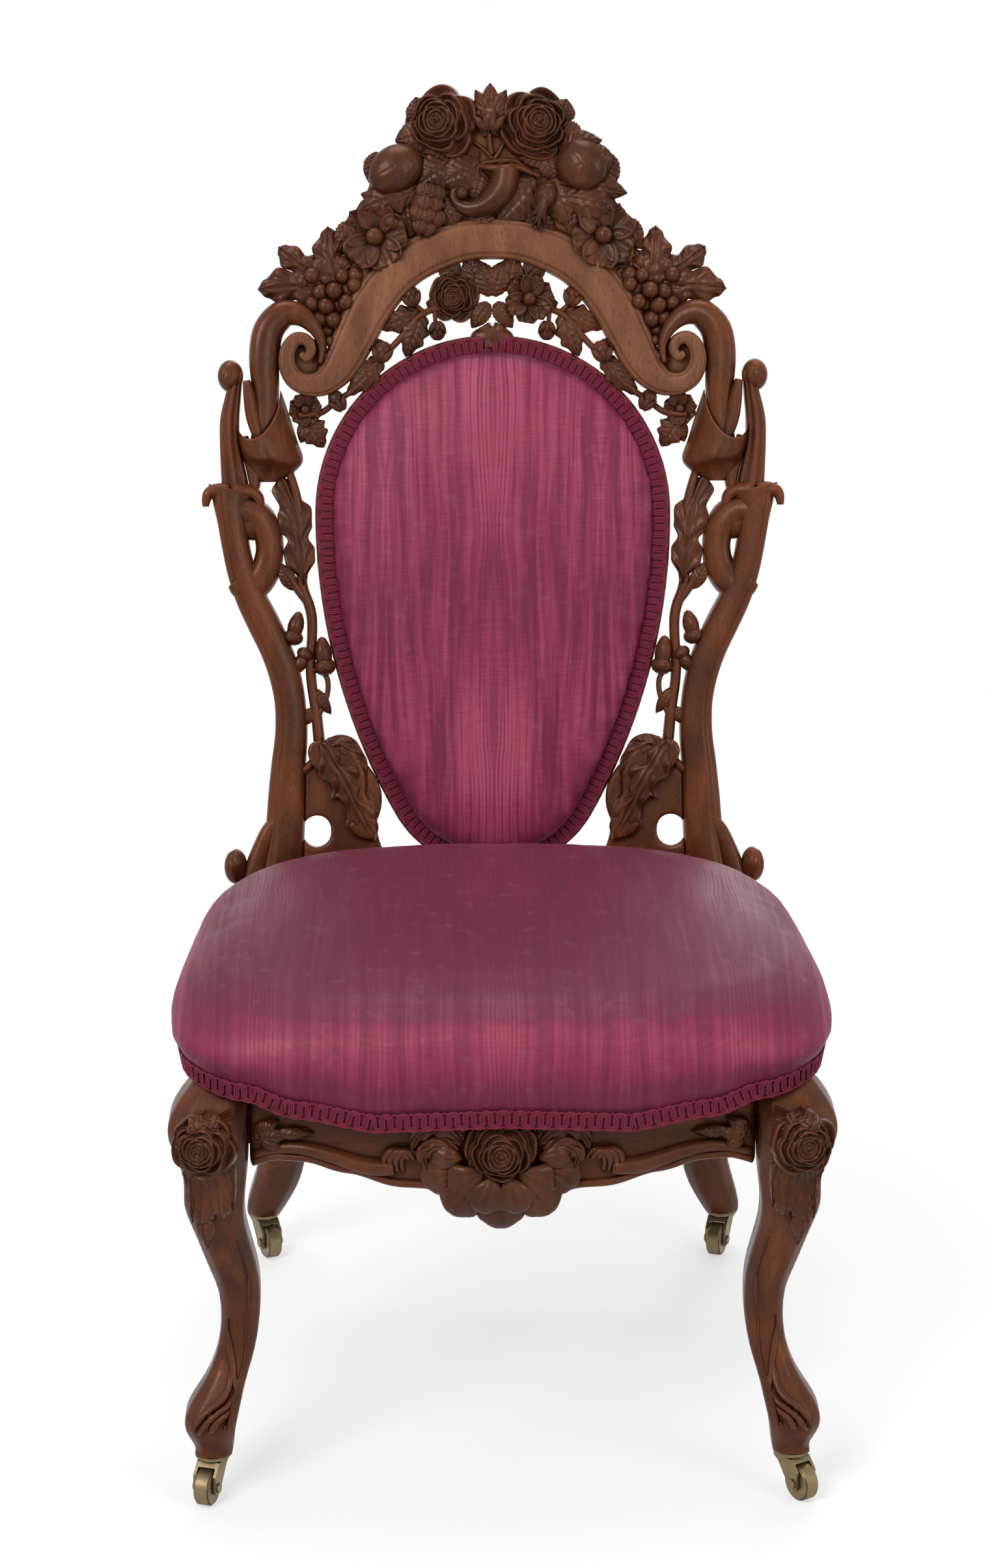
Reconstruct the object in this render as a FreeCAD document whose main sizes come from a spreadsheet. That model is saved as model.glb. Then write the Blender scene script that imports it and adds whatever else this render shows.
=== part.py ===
"""Carved slipper chair on casters, in millimetres.

The origin is on the floor under the middle of the chair. +Z is up, the chair faces -Y
and +X is the sitter's left hand. The back is drawn flat, as a carver's squared drawing,
then bent to one radius and leaned back.
"""
import FreeCAD
import Part
import math
import os
import Sketcher
from FreeCAD import Placement, Rotation, Vector

# Driving dimensions
DIMENSIONS = [
    ("back_half_width", 250.0), ("back_rise", 750.0), ("back_base_z", 330.0),
    ("back_base_y", 158.0), ("back_rake_angle", 12.0), ("back_bend_radius", 800.0),
    ("band_depth", 24.0), ("band_centre_w", 10.0), ("panel_depth", 16.0),
    ("crest_board_depth", 13.0), ("crest_relief", 22.0),
    ("medallion_top_radius", 156.0), ("medallion_side_radius", 546.0),
    ("medallion_tip_radius", 100.0), ("medallion_centre_v", 376.0),
    ("medallion_frame_front", 10.0), ("medallion_frame_back", 6.0),
    ("medallion_rim", 3.0), ("medallion_rail", 24.0), ("medallion_crown", 27.0),
    ("medallion_foot_width", 64.0), ("gimp_width", 14.0), ("gimp_thickness", 2.5),
    ("cover_thickness", 1.6), ("seat_half_front", 252.0), ("seat_half_rear", 218.0),
    ("seat_front_y", -292.0), ("seat_rear_y", 136.0), ("seat_bow", 14.0),
    ("seat_dome_height", 110.0), ("seat_overhang", 17.0), ("gimp_clearance", 0.8),
    ("show_line_z", 334.0), ("show_line_swell", 28.0), ("rail_thickness", 28.0),
    ("rail_bottom_z", 292.0), ("rear_rail_y", 116.0), ("rear_rail_bow", 22.0),
    ("apron_drop", 20.0),
    ("knee_x", 228.0), ("knee_y", -266.0), ("knee_width", 56.0),
    ("front_foot_x", 234.0), ("front_foot_y", -276.0), ("ankle_set_in", 21.0),
    ("rear_foot_x", 212.0), ("rear_foot_y", 227.0),
    ("rear_block_x", 190.0), ("rear_block_y", 128.0), ("rear_block_width", 46.0),
    ("rose_radius", 21.0), ("rose_depth", 20.0), ("rose_drop", 13.0),
    ("web_width", 50.0), ("web_thickness", 2.0), ("spring_height", 86.0),
    ("spring_radius", 38.0), ("spring_waist", 26.0), ("corner_block_leg", 42.0),
    ("corner_block_height", 40.0), ("dowel_diameter", 9.0), ("dowel_length", 50.0),
    ("dowel_spacing", 22.0), ("block_screw_diameter", 5.0), ("block_screw_length", 26.0),
    ("wheel_radius", 15.0), ("wheel_width", 13.0), ("wheel_chamfer", 1.6),
    ("axle_diameter", 5.0), ("axle_head_diameter", 8.0), ("axle_head_depth", 1.5),
    ("caster_trail", 14.0), ("horn_top_thickness", 3.5), ("horn_cheek", 2.4),
    ("horn_boss_radius", 11.0), ("horn_eye", 5.5), ("wheel_head_room", 1.6),
    ("wheel_side_gap", 0.8), ("pivot_diameter", 6.0), ("pivot_head_diameter", 9.0),
    ("pivot_head_depth", 2.0), ("washer_diameter", 15.0), ("washer_thickness", 1.2),
    ("plate_radius", 14.0), ("plate_thickness", 2.6), ("plate_screw_circle", 10.5),
    ("plate_screw_diameter", 3.0), ("plate_screw_length", 14.0), ("screw_head_depth", 1.2),
    ("screw_head_diameter", 5.0), ("running_clearance", 0.05), ("end_clearance", 0.2),
    ("seat_clearance", 0.3), ("overrun", 60.0), ("carving_sink", 1.5),
]

# Squares of the drawing: so many steps make the back's half width and its rise.
# Each share below is a number of these steps.
STEPS_ACROSS = 250
STEPS_UP = 750

# Stations of the carved members on the drawing: across, up, width
hoop_shares = [
    (0, 616, 36), (-25, 614, 36), (-50, 606, 37), (-73, 594, 38), (-92, 577, 39),
    (-108, 555, 39), (-119, 533, 37), (-129, 513, 34), (-138, 499, 28), (-149, 490, 21),
    (-162, 488.5, 18), (-173, 494, 16), (-179, 506, 13.5), (-179, 519, 12),
    (-174, 529, 11), (-166, 532.5, 9.5), (-160, 529.5, 8), (-157.5, 522, 6.5),
    (-159.5, 515, 5),
]
post_shares = [
    (-205, 424, 17), (-201, 443, 19.5), (-198, 463, 21), (-198, 484, 23), (-199, 512, 26),
    (-195, 536, 26), (-182, 550, 24), (-167, 548.5, 18.5), (-154.5, 537, 12),
    (-148.5, 522, 7.5), (-150, 507, 4.5),
]
stile_shares = [
    (-190, -30, 40), (-190, 20, 40), (-188, 60, 38), (-184, 100, 34), (-182.5, 128, 32),
    (-180.5, 156, 30), (-178, 184, 28), (-179, 212, 26.5), (-183.5, 236, 27),
    (-191, 258, 27), (-201, 280, 27.5), (-212, 303, 26), (-220, 326, 24),
    (-225, 350, 23.5), (-228, 374, 26), (-229, 390, 31), (-229, 401, 38),
]
strand_shares = [
    (-186, 112, 10), (-196, 100, 15), (-203, 84, 18), (-209, 66, 20), (-213, 44, 21),
    (-215, 20, 20),
]
neck_shares = [
    (-219, 494, 7), (-224, 478, 11), (-228, 461, 14), (-228, 440, 16), (-225, 420, 20),
    (-224, 403, 24), (-225, 392, 24),
]
branch_shares = [
    (-178, 413, 5), (-170, 392, 8), (-168, 360, 9), (-167, 330, 9), (-164, 309, 9),
    (-159, 290, 9), (-158.5, 266, 9), (-161, 246, 9), (-160, 224, 9), (-157, 203, 10),
    (-154, 180, 10), (-152, 160, 10),
]
twig_shares = [
    (-160, 240, 4), (-152, 239, 4), (-146, 231, 4), (-146, 218, 4), (-151, 204, 4),
    (-156, 192, 4),
]
# Closed bulbs on the drawing: across, up, half width, half height, turn in degrees
knob_share = (-228, 496, 11, 14, 12)
lower_knob_share = (-225, 66, 10.5, 15.5, 8)
acorn_shares = [(-176, 305, 7, 15, 10), (-149, 247, 7.5, 16, 4)]
garland_bud_shares = [
    (-72, 566, 8, 9, 0), (-49, 537, 7, 8, 0), (-97, 518, 9, 9, 0), (-137, 474, 7, 10, 30),
]
grape_shares = [
    (-144, 590), (-131, 592), (-155, 581), (-144, 579), (-132, 580), (-121, 580),
    (-158, 571), (-149, 566), (-138, 568), (-127, 568), (-143, 555), (-134, 555),
    (-139, 543), (-140, 531),
]
GRAPE_HALF_SHARE = 6.6

# Outlines on the drawing. Each run of points is one edge: two points are a line,
# three an arc and more a smooth curve. A run starts where the last one ends.
cup_shares = [
    [(-226, 470), (-219, 456), (-201, 441), (-188, 456), (-183, 478)],
    [(-183, 478), (-172, 451), (-160, 428)],
    [(-160, 428), (-163, 417), (-178, 410), (-191, 405.5), (-206, 409), (-213, 416)],
    [(-213, 416), (-221, 443), (-226, 470)],
]
ring_shares = [
    [(-222, 390), (-219, 384)],
    [(-219, 384), (-182, 345), (-206, 307)],
    [(-206, 307), (-222, 302)],
    [(-222, 302), (-222, 390)],
]
ring_hole_shares = [
    [(-210, 354), (-206, 345), (-210, 336)],
    [(-210, 336), (-214, 345), (-210, 354)],
]
bracket_shares = [
    [(-182, -30), (-182, 153)],
    [(-182, 153), (-156, 152), (-144, 151)],
    [(-144, 151), (-130, 140), (-122, 138)],
    [(-122, 138), (-117, 156), (-108, 150)],
    [(-108, 150), (-99, 120), (-103, 106)],
    [(-103, 106), (-100, 84), (-86, 64)],
    [(-86, 64), (-100, 20), (-92, -30)],
    [(-92, -30), (-182, -30)],
]
bracket_hole_shares = [
    [(-168, 97), (-156, 111), (-144, 97)],
    [(-144, 97), (-156, 83), (-168, 97)],
]
low_leaf_shares = [
    [(-152, 178), (-163, 171), (-160, 157), (-147, 150)],
    [(-147, 150), (-138, 139), (-142, 126)],
    [(-142, 126), (-124, 116), (-128, 103)],
    [(-128, 103), (-120, 93), (-105, 90)],
    [(-105, 90), (-104, 106), (-114, 130)],
    [(-114, 130), (-118, 160), (-131, 175)],
    [(-131, 175), (-138, 170), (-152, 178)],
]
high_leaf_shares = [
    [(-192, 406), (-195, 392), (-185, 380)],
    [(-185, 380), (-191, 366), (-176, 347)],
    [(-176, 347), (-173, 330), (-166, 314)],
    [(-166, 314), (-152, 332), (-157, 356)],
    [(-157, 356), (-156, 380), (-168, 392)],
    [(-168, 392), (-176, 402), (-192, 406)],
]
vine_leaf_shares = [
    [(-190, 558), (-200, 569), (-190, 586)],
    [(-190, 586), (-178, 594), (-167, 592)],
    [(-167, 592), (-171, 606), (-162, 615)],
    [(-162, 615), (-148, 628), (-138, 616), (-135, 604)],
    [(-135, 604), (-124, 600), (-108, 586)],
    [(-108, 586), (-124, 540), (-142, 516)],
    [(-142, 516), (-150, 545), (-190, 558)],
]
crest_shares = [
    [(-126, 600), (-123, 628), (-112, 643)],
    [(-112, 643), (-106, 664), (-94, 682)],
    [(-94, 682), (-84, 694), (-69, 702)],
    [(-69, 702), (-62, 722), (-44, 731)],
    [(-44, 731), (-30, 740), (-16, 733)],
    [(-16, 733), (0, 742), (16, 733)],
    [(16, 733), (30, 740), (46, 729)],
    [(46, 729), (61, 720), (70, 703)],
    [(70, 703), (85, 696), (95, 682)],
    [(95, 682), (104, 664), (109, 643)],
    [(109, 643), (121, 627), (124, 600)],
    [(124, 600), (112, 562)],
    [(112, 562), (72, 602), (0, 618), (-72, 602), (-112, 562)],
    [(-112, 562), (-126, 600)],
]
bouquet_shares = [
    [(-20, 602), (-52, 598), (-54, 574)],
    [(-54, 574), (-58, 552), (-40, 543)],
    [(-40, 543), (-24, 540), (-20, 524)],
    [(-20, 524), (20, 524)],
    [(20, 524), (24, 538), (40, 541)],
    [(40, 541), (58, 550), (54, 574)],
    [(54, 574), (50, 598), (20, 602)],
    [(20, 602), (0, 612), (-20, 602)],
]
garland_stem_shares = [
    [(-46, 556, 5), (-62, 553, 5), (-78, 531, 5), (-97, 512, 5), (-112, 495, 4),
     (-126, 480, 4), (-140, 474, 4)],
    [(-60, 552, 4), (-68, 558, 4), (-72, 566, 4)],
    [(-50, 553, 4), (-50, 544, 4), (-49, 534, 4)],
    [(-168, 462, 6), (-152, 462, 4), (-142, 468, 4), (-136, 477, 4)],
]
# Leaves on the drawing: base, tip and half width
garland_leaf_shares = [
    ((-60, 554), (-98, 538), 8), ((-62, 553), (-76, 514), 9), ((-95, 513), (-128, 478), 6),
    ((-166, 458), (-146, 434), 9), ((-30, 588), (-8, 604), 9),
]
low_flower_share = (-164, 467, 12)
# Relief on the crest: across, up, half width, half height
crest_rose_shares = [(-41, 717, 25), (38, 717, 25)]
crest_flower_shares = [(-103, 624, 24), (99, 625, 24)]
crest_bulb_shares = [
    (-83, 675, 20, 24, 62), (77, 678, 21, 22, -20), (-59, 643, 12, 18, 10),
    (46, 657, 9, 14, -20), (0, 720, 9, 11, 0),
]
horn_of_plenty_shares = [
    (17, 677, 40), (6, 664, 30), (-2, 652, 24), (-14, 645, 18), (-27, 645, 13),
    (-36, 653, 10), (-33, 661, 8),
]
crest_leaf_shares = [
    ((-20, 674), (-66, 672), 14), ((20, 662), (44, 634), 15), ((50, 684), (20, 678), 9),
    ((60, 640), (92, 652), 9), ((-96, 652), (-62, 664), 8), ((-100, 600), (-84, 640), 8),
    ((98, 600), (84, 640), 8),
]
garland_rose_share = (-34, 566, 17)
garland_flower_share = (32, 564, 17)

# The line where wood meets silk: shares of the front half width and of the swell
show_line_shares = [
    (-1.4, 1.05), (-1.05, 1.0), (-0.8, 0.64), (-0.64, 0.22), (-0.35, -0.18), (0.0, 0.0),
    (0.35, -0.18), (0.64, 0.22), (0.8, 0.64), (1.05, 1.0), (1.4, 1.05),
]
# The front rail's lower edge: shares of its half length and of the apron's drop
rail_edge_shares = [
    (-1.0, -0.2), (-0.9, 0.12), (-0.78, 0.08), (-0.62, -0.34), (-0.4, -0.9), (0.0, -1.2),
    (0.4, -0.9), (0.62, -0.34), (0.78, 0.08), (0.9, 0.12), (1.0, -0.2),
]
# The cushion's outlines: shares of the dome's height, of the overhang, of the half width
# and of the depth drawn in at each end, and the corner's share of the outline's half depth
dome_shares = [
    (-0.5, 0.0, 0.0, 0.0, 0.28), (0.1, 0.4, 0.0, 0.0, 0.28), (0.34, 0.95, 0.0, 0.0, 0.29),
    (0.5, 0.95, 0.0, 0.004, 0.33), (0.63, 0.65, 0.008, 0.022, 0.38),
    (0.76, 0.15, 0.036, 0.055, 0.47), (0.87, 0.0, 0.12, 0.11, 0.58),
    (0.95, 0.0, 0.25, 0.19, 0.68), (1.0, 0.0, 0.46, 0.31, 0.75),
]
# The front leg: share of its height, share of the set-in, share of the knee's width
front_leg_shares = [
    (1.0, 0.0, 1.0), (0.86, 0.0, 1.0), (0.735, 0.0, 1.0), (0.66, 0.1, 0.87),
    (0.58, 0.16, 0.79), (0.52, 0.42, 0.73), (0.45, 0.74, 0.69), (0.39, 0.96, 0.61),
    (0.33, 1.02, 0.56), (0.26, 0.92, 0.54), (0.2, 0.64, 0.56), (0.14, 0.2, 0.69),
    (0.09, -0.06, 0.75), (0.045, 0.0, 0.63), (0.0, 0.0, 0.55),
]
# The rear leg: share of its height, shares of the way out and back to the foot, and of
# its width
rear_leg_shares = [
    (1.0, 0.0, 0.0, 1.0), (0.86, 0.0, 0.0, 1.0), (0.735, 0.0, 0.0, 1.0),
    (0.6, 0.0, 0.16, 0.95), (0.4, 0.02, 0.46, 0.92), (0.2, 0.12, 0.76, 0.92),
    (0.11, 0.42, 0.88, 0.9), (0.05, 0.76, 0.95, 0.82), (0.0, 1.0, 1.0, 0.64),
]
# The medallion's crown: shares of its height and of the top radius
crown_shares = [
    (0.0, 0.0), (0.35, 0.0), (0.6, 0.0), (0.73, 0.014), (0.84, 0.055), (0.94, 0.15),
    (1.0, 0.32),
]

CORNERS = {
    "front_left": (-1, "front", -109.0), "front_right": (1, "front", -57.0),
    "rear_left": (-1, "rear", -66.0), "rear_right": (1, "rear", -110.0),
}
SCREWS_PER_PLATE = 3
DOWEL_SIDES = 8
SCREW_SIDES = 6
SPRING_SIDES = 10
BULB_SIDES = 10
GEM_SIDES = 7
ROSE_PETALS = 5
FLOWER_PETALS = 6

# Where pieces sit on one another, as shares of a named size
MEMBER_CHAMFER_SHARE = 0.17
LEG_CHAMFER_SHARE = 0.2
RAIL_SEAT_SHARE = 0.3
ROSE_SPOT_SHARES = (0.14, 0.46)
ROSE_LEAN_SHARES = (-0.35, -1.0, 0.05)
DOWEL_EDGE_SHARE = 1.5
DOWEL_STAGGER_SHARE = 1.2
BLOCK_SCREW_SPOT_SHARE = 0.3
BLOCK_SCREW_DEPTH_SHARE = 0.4
BLOCK_SCREW_LEVEL_SHARE = 0.6
WELL_INSET_SHARE = 1.2
APRON_SEAT_SHARE = 0.2
APRON_DEPTH_SHARE = 0.7
APRON_ROSE_SHARE = 1.15

# Depths on the back, as shares of the band's depth, the panels' depth or the relief
CUP_BACK_SHARE = 0.55
CUP_FRONT_SHARE = 0.65
SLIM_SHARE = 0.8
TWIG_SHARE = 0.4
STEM_SHARE = 0.5
BRACKET_STEP_SHARE = 0.25
LEAF_BACK_SHARE = 0.3
LEAF_FRONT_SHARE = 0.2
BLOOM_SEAT_SHARE = 0.45
GRAPE_LIFT_SHARES = (0.3, 0.17, 0.38, 0.24)
FRUIT_LIFT_SHARE = 0.3
CREST_LEAF_SHARE = 0.25
CREST_FLOWER_SHARE = 0.7

# Sections of the small carved forms: shares along their length or height and of their girth
bulb_shares = [
    (-1.0, 0.26), (-0.82, 0.63), (-0.46, 0.9), (0.0, 1.0), (0.46, 0.9), (0.82, 0.63),
    (1.0, 0.26),
]
gem_shares = [(-0.85, 0.5), (-0.3, 1.0), (0.3, 1.0), (0.85, 0.5)]
petal_layer_shares = [
    (0.0, 0.4, 1.0, 0.94, 0.0), (0.3, 0.75, 0.8, 0.68, 0.5), (0.6, 1.0, 0.52, 0.34, 0.25),
]
PETAL_NOTCH_SHARE = 0.88
FLOWER_NOTCH_SHARE = 0.72
FLOWER_DISC_SHARE = 0.5
FLOWER_BOSS_SHARES = (0.36, 0.2)
LEAF_BELLY_SHARE = 0.45
spring_shares = [(0.0, 1.0), (0.5, 0.0), (1.0, 1.0)]

# The apron: outline and fruits, in shares of the rail's half length and of the drop
apron_shares = [
    [(-0.38, 1.2), (-0.42, 0.2), (-0.37, -0.5), (-0.3, -1.8)],
    [(-0.3, -1.8), (-0.22, -2.3), (-0.14, -2.5)],
    [(-0.14, -2.5), (-0.04, -3.2), (0.06, -2.8)],
    [(0.06, -2.8), (0.16, -2.7), (0.24, -2.0)],
    [(0.24, -2.0), (0.34, -1.5), (0.42, 0.2), (0.38, 1.2)],
    [(0.38, 1.2), (0.0, 1.5), (-0.38, 1.2)],
]
apron_fruit_shares = [
    (-0.27, -0.9, 0.62), (-0.13, -1.75, 0.66), (0.02, -2.2, 0.66), (0.17, -1.8, 0.62),
    (0.29, -0.8, 0.62), (-0.33, 0.35, 0.5), (0.35, 0.35, 0.5),
]

doc = FreeCAD.newDocument("carved_slipper_chair")
sheet = doc.addObject("Spreadsheet::Sheet", "Sizes")
for row, (alias, amount) in enumerate(DIMENSIONS, start=1):
    sheet.set("A%d" % row, alias)
    sheet.set("B%d" % row, str(amount))
    sheet.setAlias("B%d" % row, alias)
doc.recompute()
subparts = {}


def size(alias):
    """The value of one driving dimension."""
    return float(sheet.get(alias))


# Heights and levels that several pieces share
wheel_top_z = 2 * size("wheel_radius")
horn_slot_z = wheel_top_z + size("wheel_head_room")
horn_top_z = horn_slot_z + size("horn_top_thickness")
washer_bottom_z = horn_top_z + size("end_clearance")
plate_bottom_z = washer_bottom_z + size("washer_thickness")
foot_bottom_z = plate_bottom_z + size("plate_thickness")
leg_top_z = size("show_line_z") + 2 * size("show_line_swell")
spring_top_z = size("rail_bottom_z") + size("spring_height")


def add_shape(label, shape, placement=None):
    """A sub-part whose shape is worked out here."""
    item = doc.addObject("Part::Feature", label)
    item.Label = label
    item.Shape = shape
    if placement is not None:
        item.Placement = placement
    subparts[label] = item
    return item


def one_solid(shape):
    """The shape as one clean solid."""
    solids = sorted(shape.Solids, key=lambda solid: solid.Volume)
    return solids[-1]


def mirrored(shape):
    return shape.mirror(Vector(0, 0, 0), Vector(1, 0, 0))


def plan(origin_role, body):
    """One of the body's own origin planes."""
    for feature in body.Origin.OriginFeatures:
        if feature.Role == origin_role:
            return feature
    raise ValueError(origin_role)


def new_sketch(body, role, name):
    sketch = body.newObject("Sketcher::SketchObject", name)
    sketch.AttachmentSupport = [(plan(role, body), "")]
    sketch.MapMode = "FlatFace"
    return sketch


def polygon_sketch(body, role, name, corners):
    """A closed outline whose corners are bound to the sheet."""
    sketch = new_sketch(body, role, name)
    places = [tuple(float(sheet.evalExpression(word)) for word in pair) for pair in corners]
    count = len(places)
    for index, (x, y) in enumerate(places):
        x_next, y_next = places[(index + 1) % count]
        sketch.addGeometry(Part.LineSegment(Vector(x, y, 0), Vector(x_next, y_next, 0)))
    for index in range(count):
        sketch.addConstraint(Sketcher.Constraint("Coincident", index, 2, (index + 1) % count, 1))
    for index, (x_word, y_word) in enumerate(corners):
        for kind, word, place in (("DistanceX", x_word, places[index][0]),
                                  ("DistanceY", y_word, places[index][1])):
            number = sketch.addConstraint(Sketcher.Constraint(kind, -1, 1, index, 1, place))
            sketch.setExpression("Constraints[%d]" % number, word)
    return sketch


def circle_sketch(body, role, name, radius_word, x_word="0", y_word="0"):
    """A circle whose radius and centre are bound to the sheet."""
    sketch = new_sketch(body, role, name)
    radius, x, y = (float(sheet.evalExpression(word)) for word in (radius_word, x_word, y_word))
    sketch.addGeometry(Part.Circle(Vector(x, y, 0), Vector(0, 0, 1), radius))
    number = sketch.addConstraint(Sketcher.Constraint("Radius", 0, radius))
    sketch.setExpression("Constraints[%d]" % number, radius_word)
    for kind, word, place in (("DistanceX", x_word, x), ("DistanceY", y_word, y)):
        if word == "0":
            axis = -2 if kind == "DistanceX" else -1
            sketch.addConstraint(Sketcher.Constraint("PointOnObject", 0, 3, axis))
        else:
            number = sketch.addConstraint(Sketcher.Constraint(kind, -1, 1, 0, 3, place))
            sketch.setExpression("Constraints[%d]" % number, word)
    return sketch


def new_body(label):
    body = doc.addObject("PartDesign::Body", label)
    body.Label = label
    subparts[label] = body
    return body


def pad(body, sketch, length_word, midplane=False):
    feature = body.newObject("PartDesign::Pad", sketch.Name + "_pad")
    feature.Profile = sketch
    feature.Midplane = midplane
    feature.setExpression("Length", length_word)
    return feature


def pocket_through(body, sketch):
    feature = body.newObject("PartDesign::Pocket", sketch.Name + "_pocket")
    feature.Profile = sketch
    feature.Midplane = True
    feature.Type = "ThroughAll"
    return feature


def turned(body, sketch):
    """A full turn of the sketch about its vertical axis."""
    feature = body.newObject("PartDesign::Revolution", sketch.Name + "_turn")
    feature.Profile = sketch
    feature.ReferenceAxis = (sketch, ["V_Axis"])
    feature.Angle = 360
    return feature


# Casters
def caster_place(corner):
    """The pivot's foot on the floor, with +X along the trail."""
    side, end, turn = CORNERS[corner]
    place = Vector(side * size(end + "_foot_x"), size(end + "_foot_y"), 0)
    return Placement(place, Rotation(Vector(0, 0, 1), turn))


def axle_place(corner):
    """The axle's centre, with +Z along the axle."""
    lift = Placement(Vector(size("caster_trail"), 0, size("wheel_radius")),
                     Rotation(Vector(1, 0, 0), 90))
    return caster_place(corner).multiply(lift)


def make_wheel(corner):
    """A solid brass wheel with a chamfered tread, bored for its axle."""
    body = new_body(corner + "_wheel")
    bore = "Sizes.axle_diameter / 2 + Sizes.running_clearance"
    half = "Sizes.wheel_width / 2"
    shoulder = "Sizes.wheel_width / 2 - Sizes.wheel_chamfer"
    tread = "Sizes.wheel_radius"
    land = "Sizes.wheel_radius - Sizes.wheel_chamfer"
    corners = [(bore, "-" + half), (land, "-" + half), (tread, "-(%s)" % shoulder),
               (tread, shoulder), (land, half), (bore, half)]
    turned(body, polygon_sketch(body, "XZ_Plane", corner + "_wheel_section", corners))
    body.Placement = axle_place(corner)


def make_horn(corner):
    """The brass fork: a top plate over the pivot and two cheeks back to the axle."""
    body = new_body(corner + "_caster_horn")
    top = "Sizes.wheel_radius * 2 + Sizes.wheel_head_room + Sizes.horn_top_thickness"
    slot = "Sizes.wheel_radius * 2 + Sizes.wheel_head_room"
    trail, eye, boss = "Sizes.caster_trail", "Sizes.horn_eye", "Sizes.horn_boss_radius"
    axle = "Sizes.wheel_radius"
    corners = [("-" + boss, top), (boss, top),
               ("%s + %s" % (trail, eye), "%s + %s * 2" % (axle, eye)),
               ("%s + %s" % (trail, eye), "%s - %s / 2" % (axle, eye)),
               ("%s + %s / 2" % (trail, eye), "%s - %s" % (axle, eye)),
               ("%s - %s / 2" % (trail, eye), "%s - %s" % (axle, eye)),
               ("%s - %s" % (trail, eye), "%s - %s / 2" % (axle, eye)),
               ("-%s / 2" % boss, "%s - Sizes.horn_cheek" % slot), ("-" + boss, slot)]
    width = "Sizes.wheel_width + 2 * Sizes.wheel_side_gap + 2 * Sizes.horn_cheek"
    pad(body, polygon_sketch(body, "XZ_Plane", corner + "_cheek", corners), width, True)
    doc.recompute()
    gap = "Sizes.wheel_width / 2 + Sizes.wheel_side_gap"
    corners = [("-" + gap, slot), (gap, slot), (gap, "-Sizes.wheel_radius"),
               ("-(%s)" % gap, "-Sizes.wheel_radius")]
    corners[0] = ("-(%s)" % gap, slot)
    pocket_through(body, polygon_sketch(body, "YZ_Plane", corner + "_slot", corners))
    radius = "Sizes.pivot_diameter / 2 + Sizes.running_clearance"
    pocket_through(body, circle_sketch(body, "XY_Plane", corner + "_pivot_hole", radius))
    radius = "Sizes.axle_diameter / 2 + Sizes.running_clearance"
    pocket_through(body, circle_sketch(body, "XZ_Plane", corner + "_axle_hole", radius,
                                       trail, axle))
    body.Placement = caster_place(corner)


def make_axle(corner):
    """A pin through both cheeks with a riveted head at each end."""
    body = new_body(corner + "_axle")
    shank = "Sizes.axle_diameter / 2"
    head = "Sizes.axle_head_diameter / 2"
    inner = "Sizes.wheel_width / 2 + Sizes.wheel_side_gap + Sizes.horn_cheek"
    outer = inner + " + Sizes.axle_head_depth"
    corners = [("0", "-(%s)" % outer), (head, "-(%s)" % outer), (head, "-(%s)" % inner),
               (shank, "-(%s)" % inner), (shank, inner), (head, inner), (head, outer),
               ("0", outer)]
    turned(body, polygon_sketch(body, "XZ_Plane", corner + "_axle_section", corners))
    body.Placement = axle_place(corner)


def make_plate(corner):
    """The round plate that is screwed under the foot."""
    body = new_body(corner + "_caster_plate")
    pad(body, circle_sketch(body, "XY_Plane", corner + "_plate_round", "Sizes.plate_radius"),
        "Sizes.plate_thickness")
    doc.recompute()
    radius = "Sizes.pivot_diameter / 2"
    pocket_through(body, circle_sketch(body, "XY_Plane", corner + "_plate_bore", radius))
    radius = "Sizes.plate_screw_diameter / 2 + Sizes.running_clearance"
    hole = pocket_through(body, circle_sketch(body, "XY_Plane", corner + "_screw_hole", radius,
                                              "Sizes.plate_screw_circle"))
    ring = body.newObject("PartDesign::PolarPattern", corner + "_screw_holes")
    ring.Originals = [hole]
    ring.Axis = (plan("Z_Axis", body), [""])
    ring.Angle = 360
    ring.Occurrences = SCREWS_PER_PLATE
    body.Tip = ring
    lift = Placement(Vector(0, 0, plate_bottom_z), Rotation())
    body.Placement = caster_place(corner).multiply(lift)


def pivot_pin():
    """The riveted pin that holds the horn up to the plate."""
    head_top = horn_slot_z - size("end_clearance")
    head = Part.makeCylinder(size("pivot_head_diameter") / 2, size("pivot_head_depth"),
                             Vector(0, 0, head_top - size("pivot_head_depth")))
    shank = Part.makeCylinder(size("pivot_diameter") / 2, foot_bottom_z - head_top,
                              Vector(0, 0, head_top))
    return head.fuse(shank).removeSplitter()


def thrust_washer():
    outer = Part.makeCylinder(size("washer_diameter") / 2, size("washer_thickness"),
                              Vector(0, 0, washer_bottom_z))
    bore = Part.makeCylinder(size("pivot_diameter") / 2 + size("running_clearance"),
                             size("overrun"), Vector(0, 0, 0))
    return outer.cut(bore)


def prism(sides, radius, base, direction, length):
    """A straight bar with flat sides, for small pieces that repeat."""
    turn = Rotation(Vector(0, 0, 1), direction)
    ring = []
    for index in range(sides):
        angle = 2 * math.pi * index / sides
        ring.append(base + turn.multVec(Vector(radius * math.cos(angle),
                                               radius * math.sin(angle), 0)))
    wire = Part.makePolygon(ring + [ring[0]])
    return Part.Face(wire).extrude(turn.multVec(Vector(0, 0, length)))


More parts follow.
